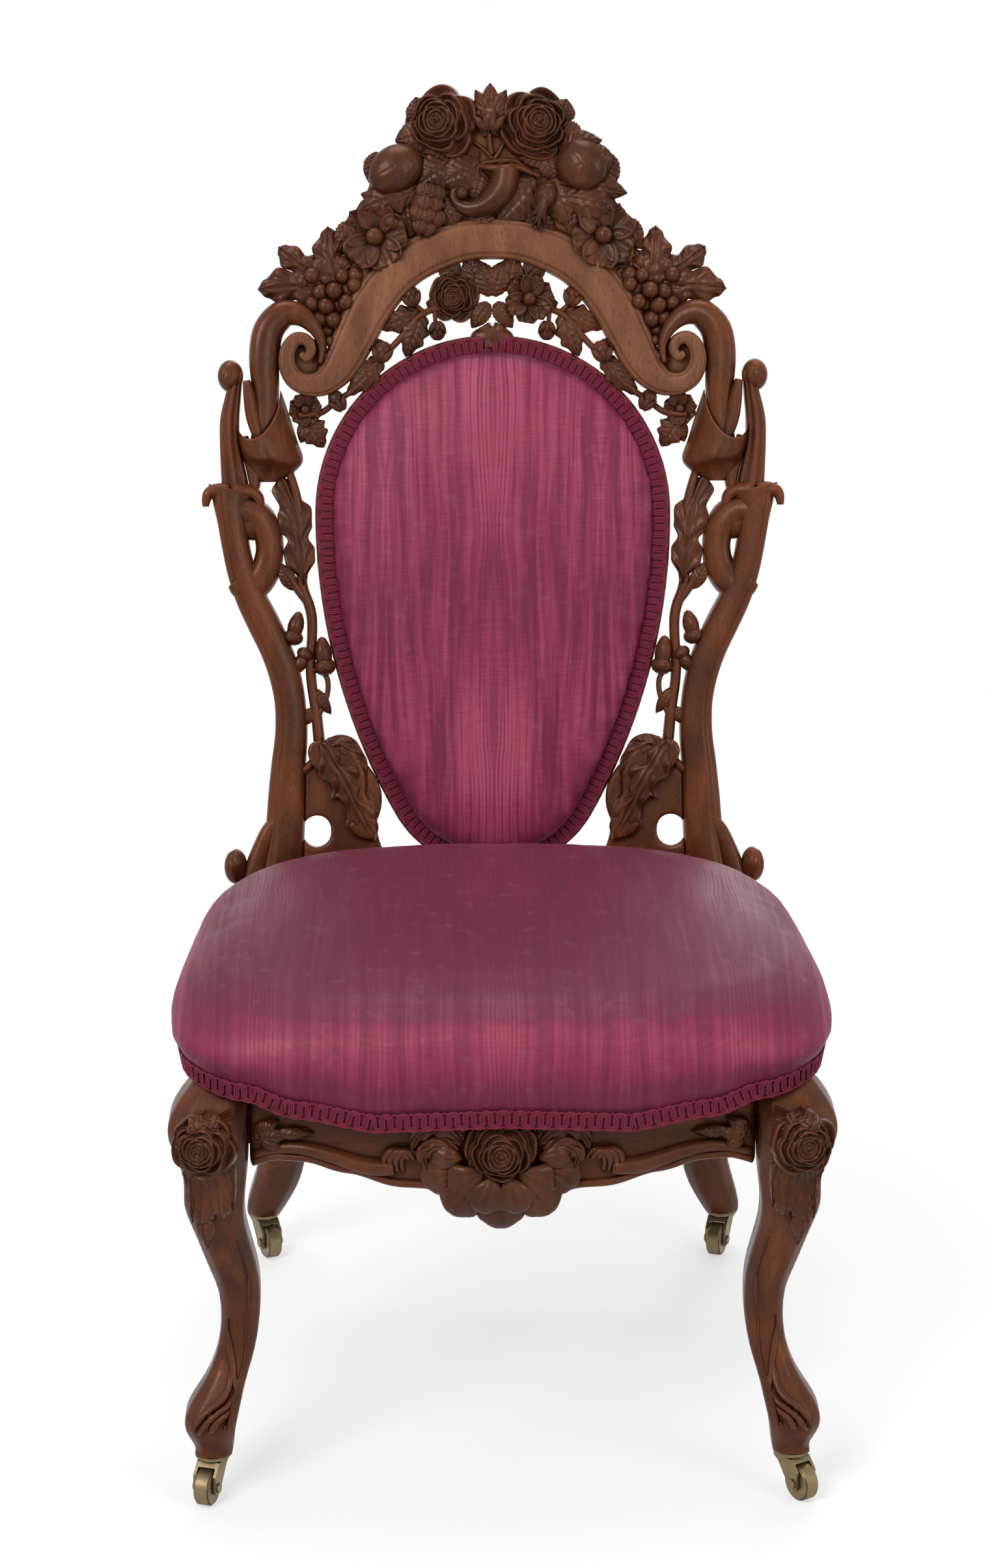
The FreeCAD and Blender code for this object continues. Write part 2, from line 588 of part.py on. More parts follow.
def plate_screws():
    """The wood screws of one plate: a round head under it and a shank into the foot."""
    screws = []
    for index in range(SCREWS_PER_PLATE):
        turn = Rotation(Vector(0, 0, 1), 360 * index / SCREWS_PER_PLATE)
        spot = turn.multVec(Vector(size("plate_screw_circle"), 0, 0))
        shank = prism(SCREW_SIDES, size("plate_screw_diameter") / 2,
                      spot + Vector(0, 0, plate_bottom_z), Vector(0, 0, 1),
                      size("plate_screw_length"))
        head_z = plate_bottom_z - size("screw_head_depth")
        head = prism(SCREW_SIDES, size("screw_head_diameter") / 2, spot + Vector(0, 0, head_z),
                     Vector(0, 0, 1), size("screw_head_depth"))
        screws.append(head.fuse(shank).removeSplitter())
    return screws


def at_corner(corner, shapes):
    """Small pieces of one caster, moved under its foot."""
    for shape in shapes:
        shape.Placement = caster_place(corner).multiply(shape.Placement)
    return shapes


pin_solids, washer_solids, screws_at = [], [], {}
for corner_name in CORNERS:
    make_wheel(corner_name)
    make_horn(corner_name)
    make_axle(corner_name)
    make_plate(corner_name)
    pin_solids += at_corner(corner_name, [pivot_pin()])
    washer_solids += at_corner(corner_name, [thrust_washer()])
    screws_at[corner_name] = at_corner(corner_name, plate_screws())
add_shape("caster_pivot_pins", Part.makeCompound(pin_solids))
add_shape("caster_thrust_washers", Part.makeCompound(washer_solids))
add_shape("caster_plate_screws", Part.makeCompound(sum(screws_at.values(), [])))


# Drawing on the bent back
half_step = size("back_half_width") / STEPS_ACROSS
rise_step = size("back_rise") / STEPS_UP
bend = size("back_bend_radius")
back_placement = Placement(Vector(0, size("back_base_y"), size("back_base_z")),
                           Rotation(Vector(1, 0, 0), 90 - size("back_rake_angle")))


def sagitta(u):
    """How far the bent back comes forward at u from its middle."""
    return bend - math.sqrt(bend ** 2 - u ** 2)


def bent(u, v, w):
    """A point of the flat drawing, w in front of the bent surface."""
    return Vector(u, v, w + sagitta(u))


def smooth_edge(points):
    """A line, an arc or a smooth curve, by the number of its points."""
    if len(points) == 2:
        return Part.LineSegment(points[0], points[1]).toShape()
    if len(points) == 3:
        return Part.Arc(points[0], points[1], points[2]).toShape()
    curve = Part.BSplineCurve()
    curve.interpolate(points)
    return curve.toShape()


def drawn_face(shares):
    """An outline of the drawing as a flat face."""
    edges = []
    for run in shares:
        edges.append(smooth_edge([Vector(a * half_step, b * rise_step, 0) for a, b in run]))
    return Part.Face(Part.Wire(Part.__sortEdges__(edges)))


def bent_slab(w_low, w_high):
    """The space between two depths of the bent back."""
    reach = size("back_half_width") + size("overrun")
    rise = size("back_rise") + 2 * size("overrun")
    low = [Vector(x, -size("overrun"), sagitta(x) + w_low) for x in (-reach, 0, reach)]
    high = [Vector(x, -size("overrun"), sagitta(x) + w_high) for x in (-reach, 0, reach)]
    wire = Part.Wire([smooth_edge(low), smooth_edge([low[2], high[2]]),
                      smooth_edge(high[::-1]), smooth_edge([high[0], low[0]])])
    return Part.Face(wire).extrude(Vector(0, rise, 0))


def raised(face, w_low, w_high):
    """A flat outline cut through the bent back between two depths."""
    deep = size("back_half_width")
    block = face.copy()
    block.translate(Vector(0, 0, -deep))
    return block.extrude(Vector(0, 0, 2 * deep)).common(bent_slab(w_low, w_high))


def member(shares, depth, centre_w):
    """A carved member with chamfered edges along its stations."""
    places = [bent(a * half_step, b * rise_step, centre_w) for a, b, _ in shares]
    last = len(places) - 1
    rings = []
    for index, (across, _, width) in enumerate(shares):
        before, after = places[max(index - 1, 0)], places[min(index + 1, last)]
        along = (after - before).normalize()
        u = across * half_step
        normal = Vector(-u, 0, math.sqrt(bend ** 2 - u ** 2)).normalize()
        side = along.cross(normal).normalize()
        out = side.cross(along).normalize()
        half_width = width * half_step / 2
        half_depth = min(depth / 2, width * half_step)
        cut = min(width * half_step, 2 * half_depth) * MEMBER_CHAMFER_SHARE
        ring = []
        for s_sign, o_sign, flat in ((1, 1, 0), (1, 1, 1), (-1, 1, 1), (-1, 1, 0),
                                     (-1, -1, 0), (-1, -1, 1), (1, -1, 1), (1, -1, 0)):
            across_side = half_width - cut * flat
            across_out = half_depth - cut * (1 - flat)
            ring.append(places[index] + side * (s_sign * across_side)
                        + out * (o_sign * across_out))
        rings.append(Part.makePolygon(ring + [ring[0]]))
    return Part.makeLoft(rings, True, False)


def faceted(rings):
    """A closed form with flat faces through rings that have equally many corners."""
    faces = [Part.Face(Part.makePolygon(ring + [ring[0]])) for ring in (rings[0], rings[-1])]
    for low, high in zip(rings, rings[1:]):
        for index in range(len(low)):
            corners = [low[index - 1], low[index], high[index], high[index - 1]]
            faces.append(Part.Face(Part.makePolygon(corners + [corners[0]])))
    solid = Part.Solid(Part.Shell(faces))
    if solid.Volume < 0:
        solid.reverse()
    return solid


def bulb(share, depth, centre_w):
    """A closed rounded form, such as a knob, bud, acorn or fruit."""
    across, up, half_width, half_height, turn = share
    rings = []
    lean = math.radians(turn)
    axis = Vector(math.sin(lean), math.cos(lean), 0)
    side = Vector(math.cos(lean), -math.sin(lean), 0)
    middle = bent(across * half_step, up * rise_step, centre_w)
    for along, girth in bulb_shares:
        centre = middle + axis * (along * half_height * rise_step)
        ring = []
        for index in range(BULB_SIDES):
            angle = 2 * math.pi * (index + 1 / 2) / BULB_SIDES
            ring.append(centre + side * (girth * half_width * half_step * math.cos(angle))
                        + Vector(0, 0, girth * depth / 2 * math.sin(angle)))
        rings.append(ring)
    return faceted(rings)


def rosette(radius, depth):
    """An open rose: shrinking rings of petals, with its back on the plane z = 0."""
    layers = []
    for low, high, girth, top_girth, turn in petal_layer_shares:
        rings = []
        for level, reach in ((low, girth), (high, top_girth)):
            edges = []
            for index in range(ROSE_PETALS):
                spread = [(index + turn + shift) * 2 * math.pi / ROSE_PETALS
                          for shift in (0, 1 / 2, 1)]
                points = []
                for angle, swell in zip(spread, (PETAL_NOTCH_SHARE, 1, PETAL_NOTCH_SHARE)):
                    points.append(Vector(math.cos(angle) * swell * reach * radius,
                                         math.sin(angle) * swell * reach * radius,
                                         level * depth))
                edges.append(smooth_edge(points))
            rings.append(Part.Wire(edges))
        layers.append(Part.makeLoft(rings, True, True))
    return layers[0].fuse(layers[1:])


def flower(radius, depth):
    """A single flower: one ring of petals round a raised boss, back on z = 0."""
    edges = []
    for index in range(FLOWER_PETALS):
        points = []
        for shift, swell in ((0, FLOWER_NOTCH_SHARE), (1 / 2, 1), (1, FLOWER_NOTCH_SHARE)):
            angle = (index + shift) * 2 * math.pi / FLOWER_PETALS
            points.append(Vector(math.cos(angle) * swell * radius,
                                 math.sin(angle) * swell * radius, 0))
        edges.append(smooth_edge(points))
    disc = Part.Face(Part.Wire(edges)).extrude(Vector(0, 0, depth * FLOWER_DISC_SHARE))
    low, high = FLOWER_BOSS_SHARES
    boss = Part.makeCone(radius * low, radius * high, depth)
    return disc.fuse(boss)


def set_on_back(shape, across, up, w):
    """Moves a form made on z = 0 to its place on the bent back."""
    u = across * half_step
    normal = Vector(-u, 0, math.sqrt(bend ** 2 - u ** 2))
    shape.Placement = Placement(bent(u, up * rise_step, w),
                                Rotation(Vector(0, 0, 1), normal)).multiply(shape.Placement)
    return shape


def egg(inset):
    """The medallion's outline from four tangent arcs, drawn in by inset."""
    top = size("medallion_top_radius")
    side = size("medallion_side_radius")
    tip = size("medallion_tip_radius")
    centre_v = size("medallion_centre_v")
    side_u = side - top
    drop = math.sqrt((side - tip) ** 2 - side_u ** 2)
    top, side, tip = top - inset, side - inset, tip - inset
    touch = Vector(-side_u, -drop, 0).normalize()
    side_low = Vector(side_u, centre_v, 0) + touch * side
    middle = (touch + Vector(-1, 0, 0)).normalize()
    side_middle = Vector(side_u, centre_v, 0) + middle * side
    flip = lambda point: Vector(-point.x, point.y, 0)
    left, right = Vector(-top, centre_v, 0), Vector(top, centre_v, 0)
    crown = Vector(0, centre_v + top, 0)
    foot = Vector(0, centre_v - drop - tip, 0)
    return Part.Wire([smooth_edge([left, crown, right]),
                      smooth_edge([right, flip(side_middle), flip(side_low)]),
                      smooth_edge([flip(side_low), foot, side_low]),
                      smooth_edge([side_low, side_middle, left])])


# The line where wood meets silk
def show_line_solid():
    """All the space above the line, from which the upholstery is cut."""
    half = size("seat_half_front")
    deep = half + size("overrun") + size("back_base_y")
    points = [Vector(a * half, -deep, size("show_line_z") + b * size("show_line_swell"))
              for a, b in show_line_shares]
    first, last = points[0], points[-1]
    roof = size("back_base_z") + size("back_rise")
    wire = Part.Wire([smooth_edge(points),
                      smooth_edge([last, Vector(last.x, -deep, roof)]),
                      smooth_edge([Vector(last.x, -deep, roof), Vector(first.x, -deep, roof)]),
                      smooth_edge([Vector(first.x, -deep, roof), first])])
    return Part.Face(wire).extrude(Vector(0, 2 * deep, 0))


above_line = show_line_solid()
above_line_on_back = above_line.copy()
above_line_on_back.Placement = back_placement.inverse()


# Seat frame
def plan_outline(half_front, half_rear, front_y, rear_y, bow, radius, level):
    """A bowed, tapered outline with rounded corners, from eight lines and arcs."""
    rear_bow = sagitta(half_rear)
    corners = [Vector(-half_front, front_y, level), Vector(half_front, front_y, level),
               Vector(half_rear, rear_y - rear_bow, level),
               Vector(-half_rear, rear_y - rear_bow, level)]
    middles = [Vector(0, front_y - bow, level), None, Vector(0, rear_y, level), None]
    edges = []
    for index in range(4):
        corner, after = corners[index], corners[(index + 1) % 4]
        before = corners[index - 1]
        way_in = (before - corner).normalize()
        way_out = (after - corner).normalize()
        start, end = corner + way_in * radius, corner + way_out * radius
        inset = (way_in + way_out) * (radius * (1 - math.sqrt(2) / 2))
        edges.append(smooth_edge([start, corner + inset, end]))
        following = (corner - after).normalize()
        goal = after + following * radius
        if middles[index] is None:
            edges.append(smooth_edge([end, goal]))
        else:
            edges.append(smooth_edge([end, middles[index], goal]))
    return Part.Wire(edges)


def octagon(centre, width):
    """A level square with cut corners."""
    half = width / 2
    cut = width * LEG_CHAMFER_SHARE
    ring = [centre + Vector(x, y, 0) for x, y in
            ((half, half - cut), (half - cut, half), (cut - half, half), (-half, half - cut),
             (-half, cut - half), (cut - half, -half), (half - cut, -half),
             (half, cut - half))]
    return Part.makePolygon(ring + [ring[0]])


def front_leg():
    """A cabriole leg: square knee block, drawn-in ankle and a swelling foot."""
    rise = leg_top_z - foot_bottom_z
    knee = Vector(-size("knee_x"), size("knee_y"), 0)
    foot = Vector(-size("front_foot_x"), size("front_foot_y"), 0)
    inward = Vector(1, 1, 0) * size("ankle_set_in")
    rings = []
    for height, set_in, width in front_leg_shares:
        centre = foot + (knee - foot) * height + inward * set_in
        centre.z = foot_bottom_z + height * rise
        rings.append(octagon(centre, width * size("knee_width")))
    return Part.makeLoft(rings, True, False)


def knee_rose():
    """The rose on the knee, turned out to the corner."""
    rose = rosette(size("rose_radius"), size("rose_depth"))
    outward = Vector(*ROSE_LEAN_SHARES).normalize()
    out_share, forward_share = ROSE_SPOT_SHARES
    face = Vector(-size("knee_x") - size("knee_width") * out_share,
                  size("knee_y") - size("knee_width") * forward_share,
                  size("show_line_z") - size("rose_drop"))
    rose.Placement = Placement(face, Rotation(Vector(0, 0, 1), outward))
    return rose


def rear_leg():
    """A raked leg with cut corners, under the foot of the stile."""
    rise = leg_top_z - foot_bottom_z
    block = Vector(-size("rear_block_x"), size("rear_block_y"), 0)
    foot = Vector(-size("rear_foot_x"), size("rear_foot_y"), 0)
    rings = []
    for height, way_out, way_back, width in rear_leg_shares:
        centre = Vector(block.x + (foot.x - block.x) * way_out,
                        block.y + (foot.y - block.y) * way_back,
                        foot_bottom_z + height * rise)
        rings.append(octagon(centre, width * size("rear_block_width")))
    return Part.makeLoft(rings, True, False)


knee_inner_x = size("knee_x") - size("knee_width") / 2
knee_rear_y = size("knee_y") + size("knee_width") / 2
block_inner_x = size("rear_block_x") - size("rear_block_width") / 2
block_front_y = size("rear_block_y") - size("rear_block_width") / 2


def side_rail():
    """The left side rail, from the knee back to the rear block."""
    wide = size("rail_thickness")
    outer_front = Vector(-size("knee_x") - size("knee_width") * RAIL_SEAT_SHARE, knee_rear_y, 0)
    outer_rear = Vector(-size("rear_block_x") - size("rear_block_width") * RAIL_SEAT_SHARE,
                        block_front_y, 0)
    corners = [outer_front, outer_rear, outer_rear + Vector(wide, 0, 0),
               outer_front + Vector(wide, 0, 0)]
    face = Part.Face(Part.makePolygon(corners + [corners[0]]))
    face.translate(Vector(0, 0, size("rail_bottom_z")))
    return face.extrude(Vector(0, 0, leg_top_z - size("rail_bottom_z")))


def bowed_bar(half, ends_y, front_bow, rear_bow, low, high):
    """A bar across the chair, whose front and rear faces are bowed at the middle."""
    wide = size("rail_thickness")
    front = [Vector(-half, ends_y, 0), Vector(0, ends_y + front_bow, 0),
             Vector(half, ends_y, 0)]
    if not front_bow:
        del front[1]
    rear = [Vector(-half, ends_y + wide, 0), Vector(0, ends_y + wide + rear_bow, 0),
            Vector(half, ends_y + wide, 0)]
    wire = Part.Wire([smooth_edge(front), smooth_edge([front[-1], rear[-1]]),
                      smooth_edge(rear[::-1]), smooth_edge([rear[0], front[0]])])
    face = Part.Face(wire)
    face.translate(Vector(0, 0, low))
    return face.extrude(Vector(0, 0, high - low))


def front_rail():
    """The bowed, serpentine rail between the knees."""
    half = knee_inner_x
    bottom = [Vector(a * half, 0, size("rail_bottom_z") + b * size("apron_drop"))
              for a, b in rail_edge_shares]
    wire = Part.Wire([smooth_edge(bottom),
                      smooth_edge([bottom[-1], Vector(half, 0, leg_top_z)]),
                      smooth_edge([Vector(half, 0, leg_top_z), Vector(-half, 0, leg_top_z)]),
                      smooth_edge([Vector(-half, 0, leg_top_z), bottom[0]])])
    block = Part.Face(wire).extrude(Vector(0, 2 * size("seat_front_y"), 0))
    bow = size("seat_bow")
    return block.common(bowed_bar(half, size("seat_front_y") + bow, -bow, -bow, 0, leg_top_z))


def rear_rail():
    """The bowed rail between the rear blocks, which the medallion's foot stands on."""
    return bowed_bar(block_inner_x, size("rear_rail_y"), 0, size("rear_rail_bow"),
                     size("rail_bottom_z") - size("web_thickness"), leg_top_z)


def dowels():
    """Pairs of dowels across each joint of rail and leg, on the left half."""
    reach = size("dowel_length")
    start = reach / 2
    middle = RAIL_SEAT_SHARE * size("knee_width") - size("rail_thickness") / 2
    side_x = size("knee_x") + middle
    middle = RAIL_SEAT_SHARE * size("rear_block_width") - size("rail_thickness") / 2
    rear_x = size("rear_block_x") + middle
    front_y = size("seat_front_y") + size("seat_bow") + size("rail_thickness") / 2
    rear_y = size("rear_rail_y") + size("rail_thickness") / 2
    joints = [
        (Vector(-knee_inner_x - start, front_y, 0), Vector(1, 0, 0)),
        (Vector(-side_x, knee_rear_y - start, 0), Vector(0, 1, 0)),
        (Vector(-rear_x, block_front_y - start, 0), Vector(0, 1, 0)),
        (Vector(-block_inner_x - start, rear_y, 0), Vector(1, 0, 0)),
    ]
    low_z = size("rail_bottom_z") + size("dowel_diameter") * DOWEL_EDGE_SHARE
    bars = []
    for base, way in joints:
        start_z = low_z + way.y * size("dowel_diameter") * DOWEL_STAGGER_SHARE
        for level in (start_z, start_z + size("dowel_spacing")):
            base.z = level
            bars.append(prism(DOWEL_SIDES, size("dowel_diameter") / 2, base, way, reach))
    return bars


def rail_line_x(y):
    """The side rail's outer face at y, on the right."""
    front_x = size("knee_x") + size("knee_width") * RAIL_SEAT_SHARE
    rear_x = size("rear_block_x") + size("rear_block_width") * RAIL_SEAT_SHARE
    way = (y - knee_rear_y) / (block_front_y - knee_rear_y)
    return front_x + (rear_x - front_x) * way


def corner_blocks():
    """Glue blocks in the angles of the frame, on the left half."""
    leg = size("corner_block_leg")
    inner = size("rail_thickness")
    front_y = size("seat_front_y") + size("seat_bow") + inner
    rear_y = size("rear_rail_y")
    block_spots = [
        [(-rail_line_x(knee_rear_y) + inner, knee_rear_y), (-knee_inner_x, knee_rear_y),
         (-knee_inner_x, front_y), (-knee_inner_x + leg, front_y),
         (-rail_line_x(knee_rear_y + leg) + inner, knee_rear_y + leg)],
        [(-rail_line_x(block_front_y) + inner, block_front_y),
         (-block_inner_x, block_front_y), (-block_inner_x, rear_y),
         (-block_inner_x + leg, rear_y),
         (-rail_line_x(block_front_y - leg) + inner, block_front_y - leg)],
    ]
    blocks = []
    for spot in block_spots:
        ring = [Vector(x, y, size("rail_bottom_z")) for x, y in spot]
        face = Part.Face(Part.makePolygon(ring + [ring[0]]))
        blocks.append(face.extrude(Vector(0, 0, size("corner_block_height"))))
    return blocks


def block_screws():
    """A screw through each glue block into each rail, on the left half."""
    leg = size("corner_block_leg")
    level = size("rail_bottom_z") + size("corner_block_height") * BLOCK_SCREW_LEVEL_SHARE
    radius = size("block_screw_diameter") / 2
    reach = size("block_screw_length")
    screws = []
    front_y = size("seat_front_y") + size("seat_bow") + size("rail_thickness")
    for rail_y, way in ((front_y, -1), (size("rear_rail_y"), 1)):
        corner_x = knee_inner_x if way < 0 else block_inner_x
        start = Vector(-corner_x + leg * BLOCK_SCREW_SPOT_SHARE,
                       rail_y - way * reach * BLOCK_SCREW_DEPTH_SHARE, level)
        screws.append(prism(SCREW_SIDES, radius, start, Vector(0, way, 0), reach))
    return screws


def apron_carving():
    """The rose and fruits that hang from the middle of the front rail."""
    middle_y = size("seat_front_y") + size("rail_thickness") * APRON_SEAT_SHARE
    half = knee_inner_x
    drop = size("apron_drop")
    base = size("rail_bottom_z")
    deep = size("rose_depth") * APRON_DEPTH_SHARE
    edges = []
    for run in apron_shares:
        edges.append(smooth_edge([Vector(a * half, middle_y, base + b * drop)
                                  for a, b in run]))
    block = Part.Face(Part.Wire(Part.__sortEdges__(edges))).extrude(Vector(0, -deep, 0))
    pieces = []
    for across, up, girth in apron_fruit_shares:
        spot = Vector(across * half, middle_y - deep, base + up * drop)
        pieces.append(gem(spot, Vector(0, -1, 0), girth * size("rose_radius")))
    rose = rosette(size("rose_radius") * APRON_ROSE_SHARE, size("rose_depth"))
    spot = Vector(0, middle_y - deep, base + drop)
    rose.Placement = Placement(spot, Rotation(Vector(0, 0, 1), Vector(0, -1, 0)))
    return block.fuse(pieces + [rose])


def gem(spot, out, radius, twist=0):
    """A small rounded fruit with few faces, facing out."""
    turn = Rotation(Vector(0, 0, 1), out)
    rings = []
    for level, girth in gem_shares:
        ring = []
        for index in range(GEM_SIDES):
            angle = 2 * math.pi * index / GEM_SIDES + twist
            ring.append(spot + turn.multVec(Vector(math.cos(angle) * girth * radius,
                                                   math.sin(angle) * girth * radius,
                                                   level * radius)))
        rings.append(ring)
    return faceted(rings)


def both_sides(shapes):
    return shapes + [mirrored(shape) for shape in shapes]


def add_pair(name, shape, placement=None):
    """A left-hand sub-part and its mirrored twin."""
    add_shape("left_" + name, shape, placement)
    add_shape("right_" + name, mirrored(shape), placement)


def make_frame():
    """Legs, rails, glue blocks and their dowels and screws."""
    left_pins, left_block_pins = dowels(), block_screws()
    pins, block_pins = both_sides(left_pins), both_sides(left_block_pins)
    front, rear = front_leg(), rear_leg()
    for end, leg in (("front", front.fuse(knee_rose())), ("rear", rear)):
        left = one_solid(leg.cut([above_line] + left_pins))
        for side, shape in (("left", left), ("right", mirrored(left))):
            corner = end + "_" + side
            add_shape(corner + "_leg", one_solid(shape.cut(screws_at[corner])))
    add_pair("side_rail", one_solid(side_rail().cut([above_line, front, rear] + left_pins)))
    fronts, rears = both_sides([front]), both_sides([rear])
    cross_front = one_solid(front_rail().cut([above_line] + fronts + pins + block_pins))
    add_shape("front_rail", cross_front)
    cross_rear = rear_rail().cut([above_line] + rears + pins + block_pins)
    add_shape("rear_rail", one_solid(cross_rear))
    blocks = [one_solid(block.cut([leg] + left_block_pins))
              for block, leg in zip(corner_blocks(), (front, rear))]
    add_shape("corner_blocks", Part.makeCompound(both_sides(blocks)))
    add_shape("corner_block_screws", Part.makeCompound(block_pins))
    add_shape("leg_dowels", Part.makeCompound(pins))
    apron = apron_carving().cut([cross_front, above_line])
    add_shape("apron_carving", one_solid(apron))


# Seat upholstery
def trapezoid(inset, level, front_y, rear_y):
    """The frame's opening in plan, drawn in from the side rails' outer faces."""
    front_x, rear_x = rail_line_x(front_y) - inset, rail_line_x(rear_y) - inset
    ring = [Vector(-front_x, front_y, level), Vector(front_x, front_y, level),
            Vector(rear_x, rear_y, level), Vector(-rear_x, rear_y, level)]
    return Part.Face(Part.makePolygon(ring + [ring[0]]))


def webbing():
    """Three straps each way under the springs, laid over one another."""
    inner_front = size("seat_front_y") + size("rail_thickness")
    inner_rear = size("rear_rail_y")
    low = size("rail_bottom_z") - size("web_thickness")
    middle = size("rail_thickness") / 2
    bound = trapezoid(middle, low, inner_front, inner_rear)
    bound = bound.extrude(Vector(0, 0, size("web_thickness")))
    reach = 2 * size("seat_half_front")
    straps = []
    span = (inner_rear - inner_front) / 4
    for step in (1, 2, 3):
        corner = Vector(-reach / 2, inner_front + step * span - size("web_width") / 2, low)
        strap = Part.makeBox(reach, size("web_width"), size("web_thickness"), corner)
        straps.append(strap.common(bound))
    front = doc.getObject("front_rail").Shape
    low -= size("web_thickness")
    for step in (-1, 0, 1):
        corner = Vector(step * span - size("web_width") / 2, size("seat_front_y"), low)
        depth = inner_rear + middle - size("seat_front_y")
        strap = Part.makeBox(size("web_width"), depth, size("web_thickness"), corner)
        strap = strap.cut(front)
        straps.append(max(strap.Solids, key=lambda solid: solid.BoundBox.YMax))
    return straps


def dust_cover():
    """The thin cloth under the straps, notched round the legs."""
    level = size("rail_bottom_z") - 2 * size("web_thickness") - size("cover_thickness") / 2
    gap, inset = size("seat_clearance"), size("rail_thickness") / 2
    knee_y, block_y = knee_rear_y + gap, block_front_y - gap
    right = [(knee_inner_x - gap, size("seat_front_y") + size("rail_thickness") + gap),
             (knee_inner_x - gap, knee_y), (rail_line_x(knee_y) - inset, knee_y),
             (rail_line_x(block_y) - inset, block_y), (block_inner_x - gap, block_y),
             (block_inner_x - gap, size("rear_rail_y") + inset)]
    ring = [Vector(x, y, level) for x, y in right]
    ring += [Vector(-point.x, point.y, level) for point in ring[::-1]]
    face = Part.Face(Part.makePolygon(ring + [ring[0]]))
    cloth = face.extrude(Vector(0, 0, size("cover_thickness") / 2))
    return one_solid(cloth.cut(doc.getObject("front_rail").Shape))


def spring(spot):
    """The outer form of one waisted seat spring."""
    rings = []
    swell = size("spring_radius") - size("spring_waist")
    for level, share in spring_shares:
        radius = size("spring_waist") + share * swell
        ring = []
        for index in range(SPRING_SIDES):
            angle = 2 * math.pi * index / SPRING_SIDES
            ring.append(spot + Vector(radius * math.cos(angle), radius * math.sin(angle),
                                      level * size("spring_height")))
        rings.append(ring)
    return faceted(rings)


def springs():
    inner_front = size("seat_front_y") + size("rail_thickness")
    span = (size("rear_rail_y") - inner_front) / 4
    level = size("rail_bottom_z")
    return [spring(Vector(across * span, inner_front + along * span, level))
            for across, along in ((-1, 1), (1, 1), (0, 2), (-1, 3), (1, 3))]


def dome(grow, lower=0.0):
    """The cushion's whole form, grown by grow all round and lowered by lower."""
    rings = []
    depth = size("seat_rear_y") - size("seat_front_y")
    for height, out, side_in, end_in, corner in dome_shares:
        reach = out * size("seat_overhang") + grow
        half = size("seat_half_front")
        rings.append(plan_outline(
            half * (1 - side_in) + reach, size("seat_half_rear") - half * side_in + reach,
            size("seat_front_y") + depth * end_in - reach,
            size("seat_rear_y") - depth * end_in + grow,
            size("seat_bow") * (1 - end_in), corner * depth * (1 - 2 * end_in) / 2,
            size("show_line_z") + height * size("seat_dome_height") - lower))
    return Part.makeLoft(rings, True, False)


def make_seat():
    """Straps, springs, stuffing, silk, gimp and the cloth below."""
    add_shape("seat_webbing", Part.makeCompound(webbing()))
    add_shape("seat_springs", Part.makeCompound(springs()))
    add_shape("dust_cover", dust_cover())
    outer = dome(0.0)
    inner = dome(-size("cover_thickness"), size("cover_thickness"))
    grown = dome(size("gimp_thickness"))
    front_y = size("seat_front_y") + size("rail_thickness") + size("seat_bow")
    well = trapezoid(size("rail_thickness") * WELL_INSET_SHARE, 0, front_y, size("rear_rail_y"))
    well = well.extrude(Vector(0, 0, spring_top_z))
    add_shape("seat_stuffing", one_solid(inner.common(above_line).cut(well)))
    add_shape("seat_cover", one_solid(outer.common(above_line).cut(inner)))
    above_gimp = above_line.copy()
    above_gimp.translate(Vector(0, 0, size("gimp_width")))
    add_shape("seat_gimp", one_solid(grown.common(above_line).cut([above_gimp, outer])))


# Medallion
def make_medallion():
    """The oval frame with its stuffing, silk, gimp and outside back.

    Gives back the frame and the space that its outline keeps clear.
    """
    back, front = -size("medallion_frame_back"), size("medallion_frame_front")
    half = size("medallion_foot_width") / 2
    foot_top = size("medallion_tip_radius")
    low = -size("overrun") / 2
    foot = Part.Face(Part.makePolygon([Vector(-half, low, 0), Vector(half, low, 0),
                                       Vector(half, foot_top, 0), Vector(-half, foot_top, 0),
                                       Vector(-half, low, 0)]))
    ring = Part.Face(egg(0.0)).fuse(foot).removeSplitter()
    opening = Part.Face(egg(size("medallion_rail")))
    solid = raised(ring.Faces[0].cut(opening).Faces[0], back, front)
    solid = solid.common(above_line_on_back)
    add_shape("medallion_frame", one_solid(solid), back_placement)
    rim = size("medallion_rim")
    edge = rim + size("gimp_width")
    band = Part.Face(egg(rim)).cut(Part.Face(egg(edge))).Faces[0]
    gimp = raised(band, front, front + size("gimp_thickness"))
    add_shape("medallion_gimp", one_solid(gimp), back_placement)
    top = front + size("medallion_crown")
    below = bent_slab(-size("back_half_width"), front)

    def pad(inset, lower):
        rings = []
        for level, draw in crown_shares:
            outline = egg(inset + draw * size("medallion_top_radius"))
            outline.translate(Vector(0, 0, level * (top - lower)))
            rings.append(outline)
        return Part.makeLoft(rings, True, False).cut(below)

    gap = size("gimp_clearance")
    outer, inner = pad(edge + gap, 0.0), pad(edge + gap + size("cover_thickness"),
                                             size("cover_thickness"))
    add_shape("medallion_cover", one_solid(outer.cut(inner)), back_placement)
    inside = Part.Face(egg(size("medallion_rail") + size("seat_clearance")))
    filling = inner.fuse(raised(inside, back, front))
    add_shape("medallion_stuffing", one_solid(filling), back_placement)
    rear = Part.Face(egg(rim))
    cloth = raised(rear, back - size("cover_thickness"), back)
    add_shape("medallion_back_cover", one_solid(cloth), back_placement)
    return solid, raised(Part.Face(egg(0.0)), -size("overrun"), size("overrun"))


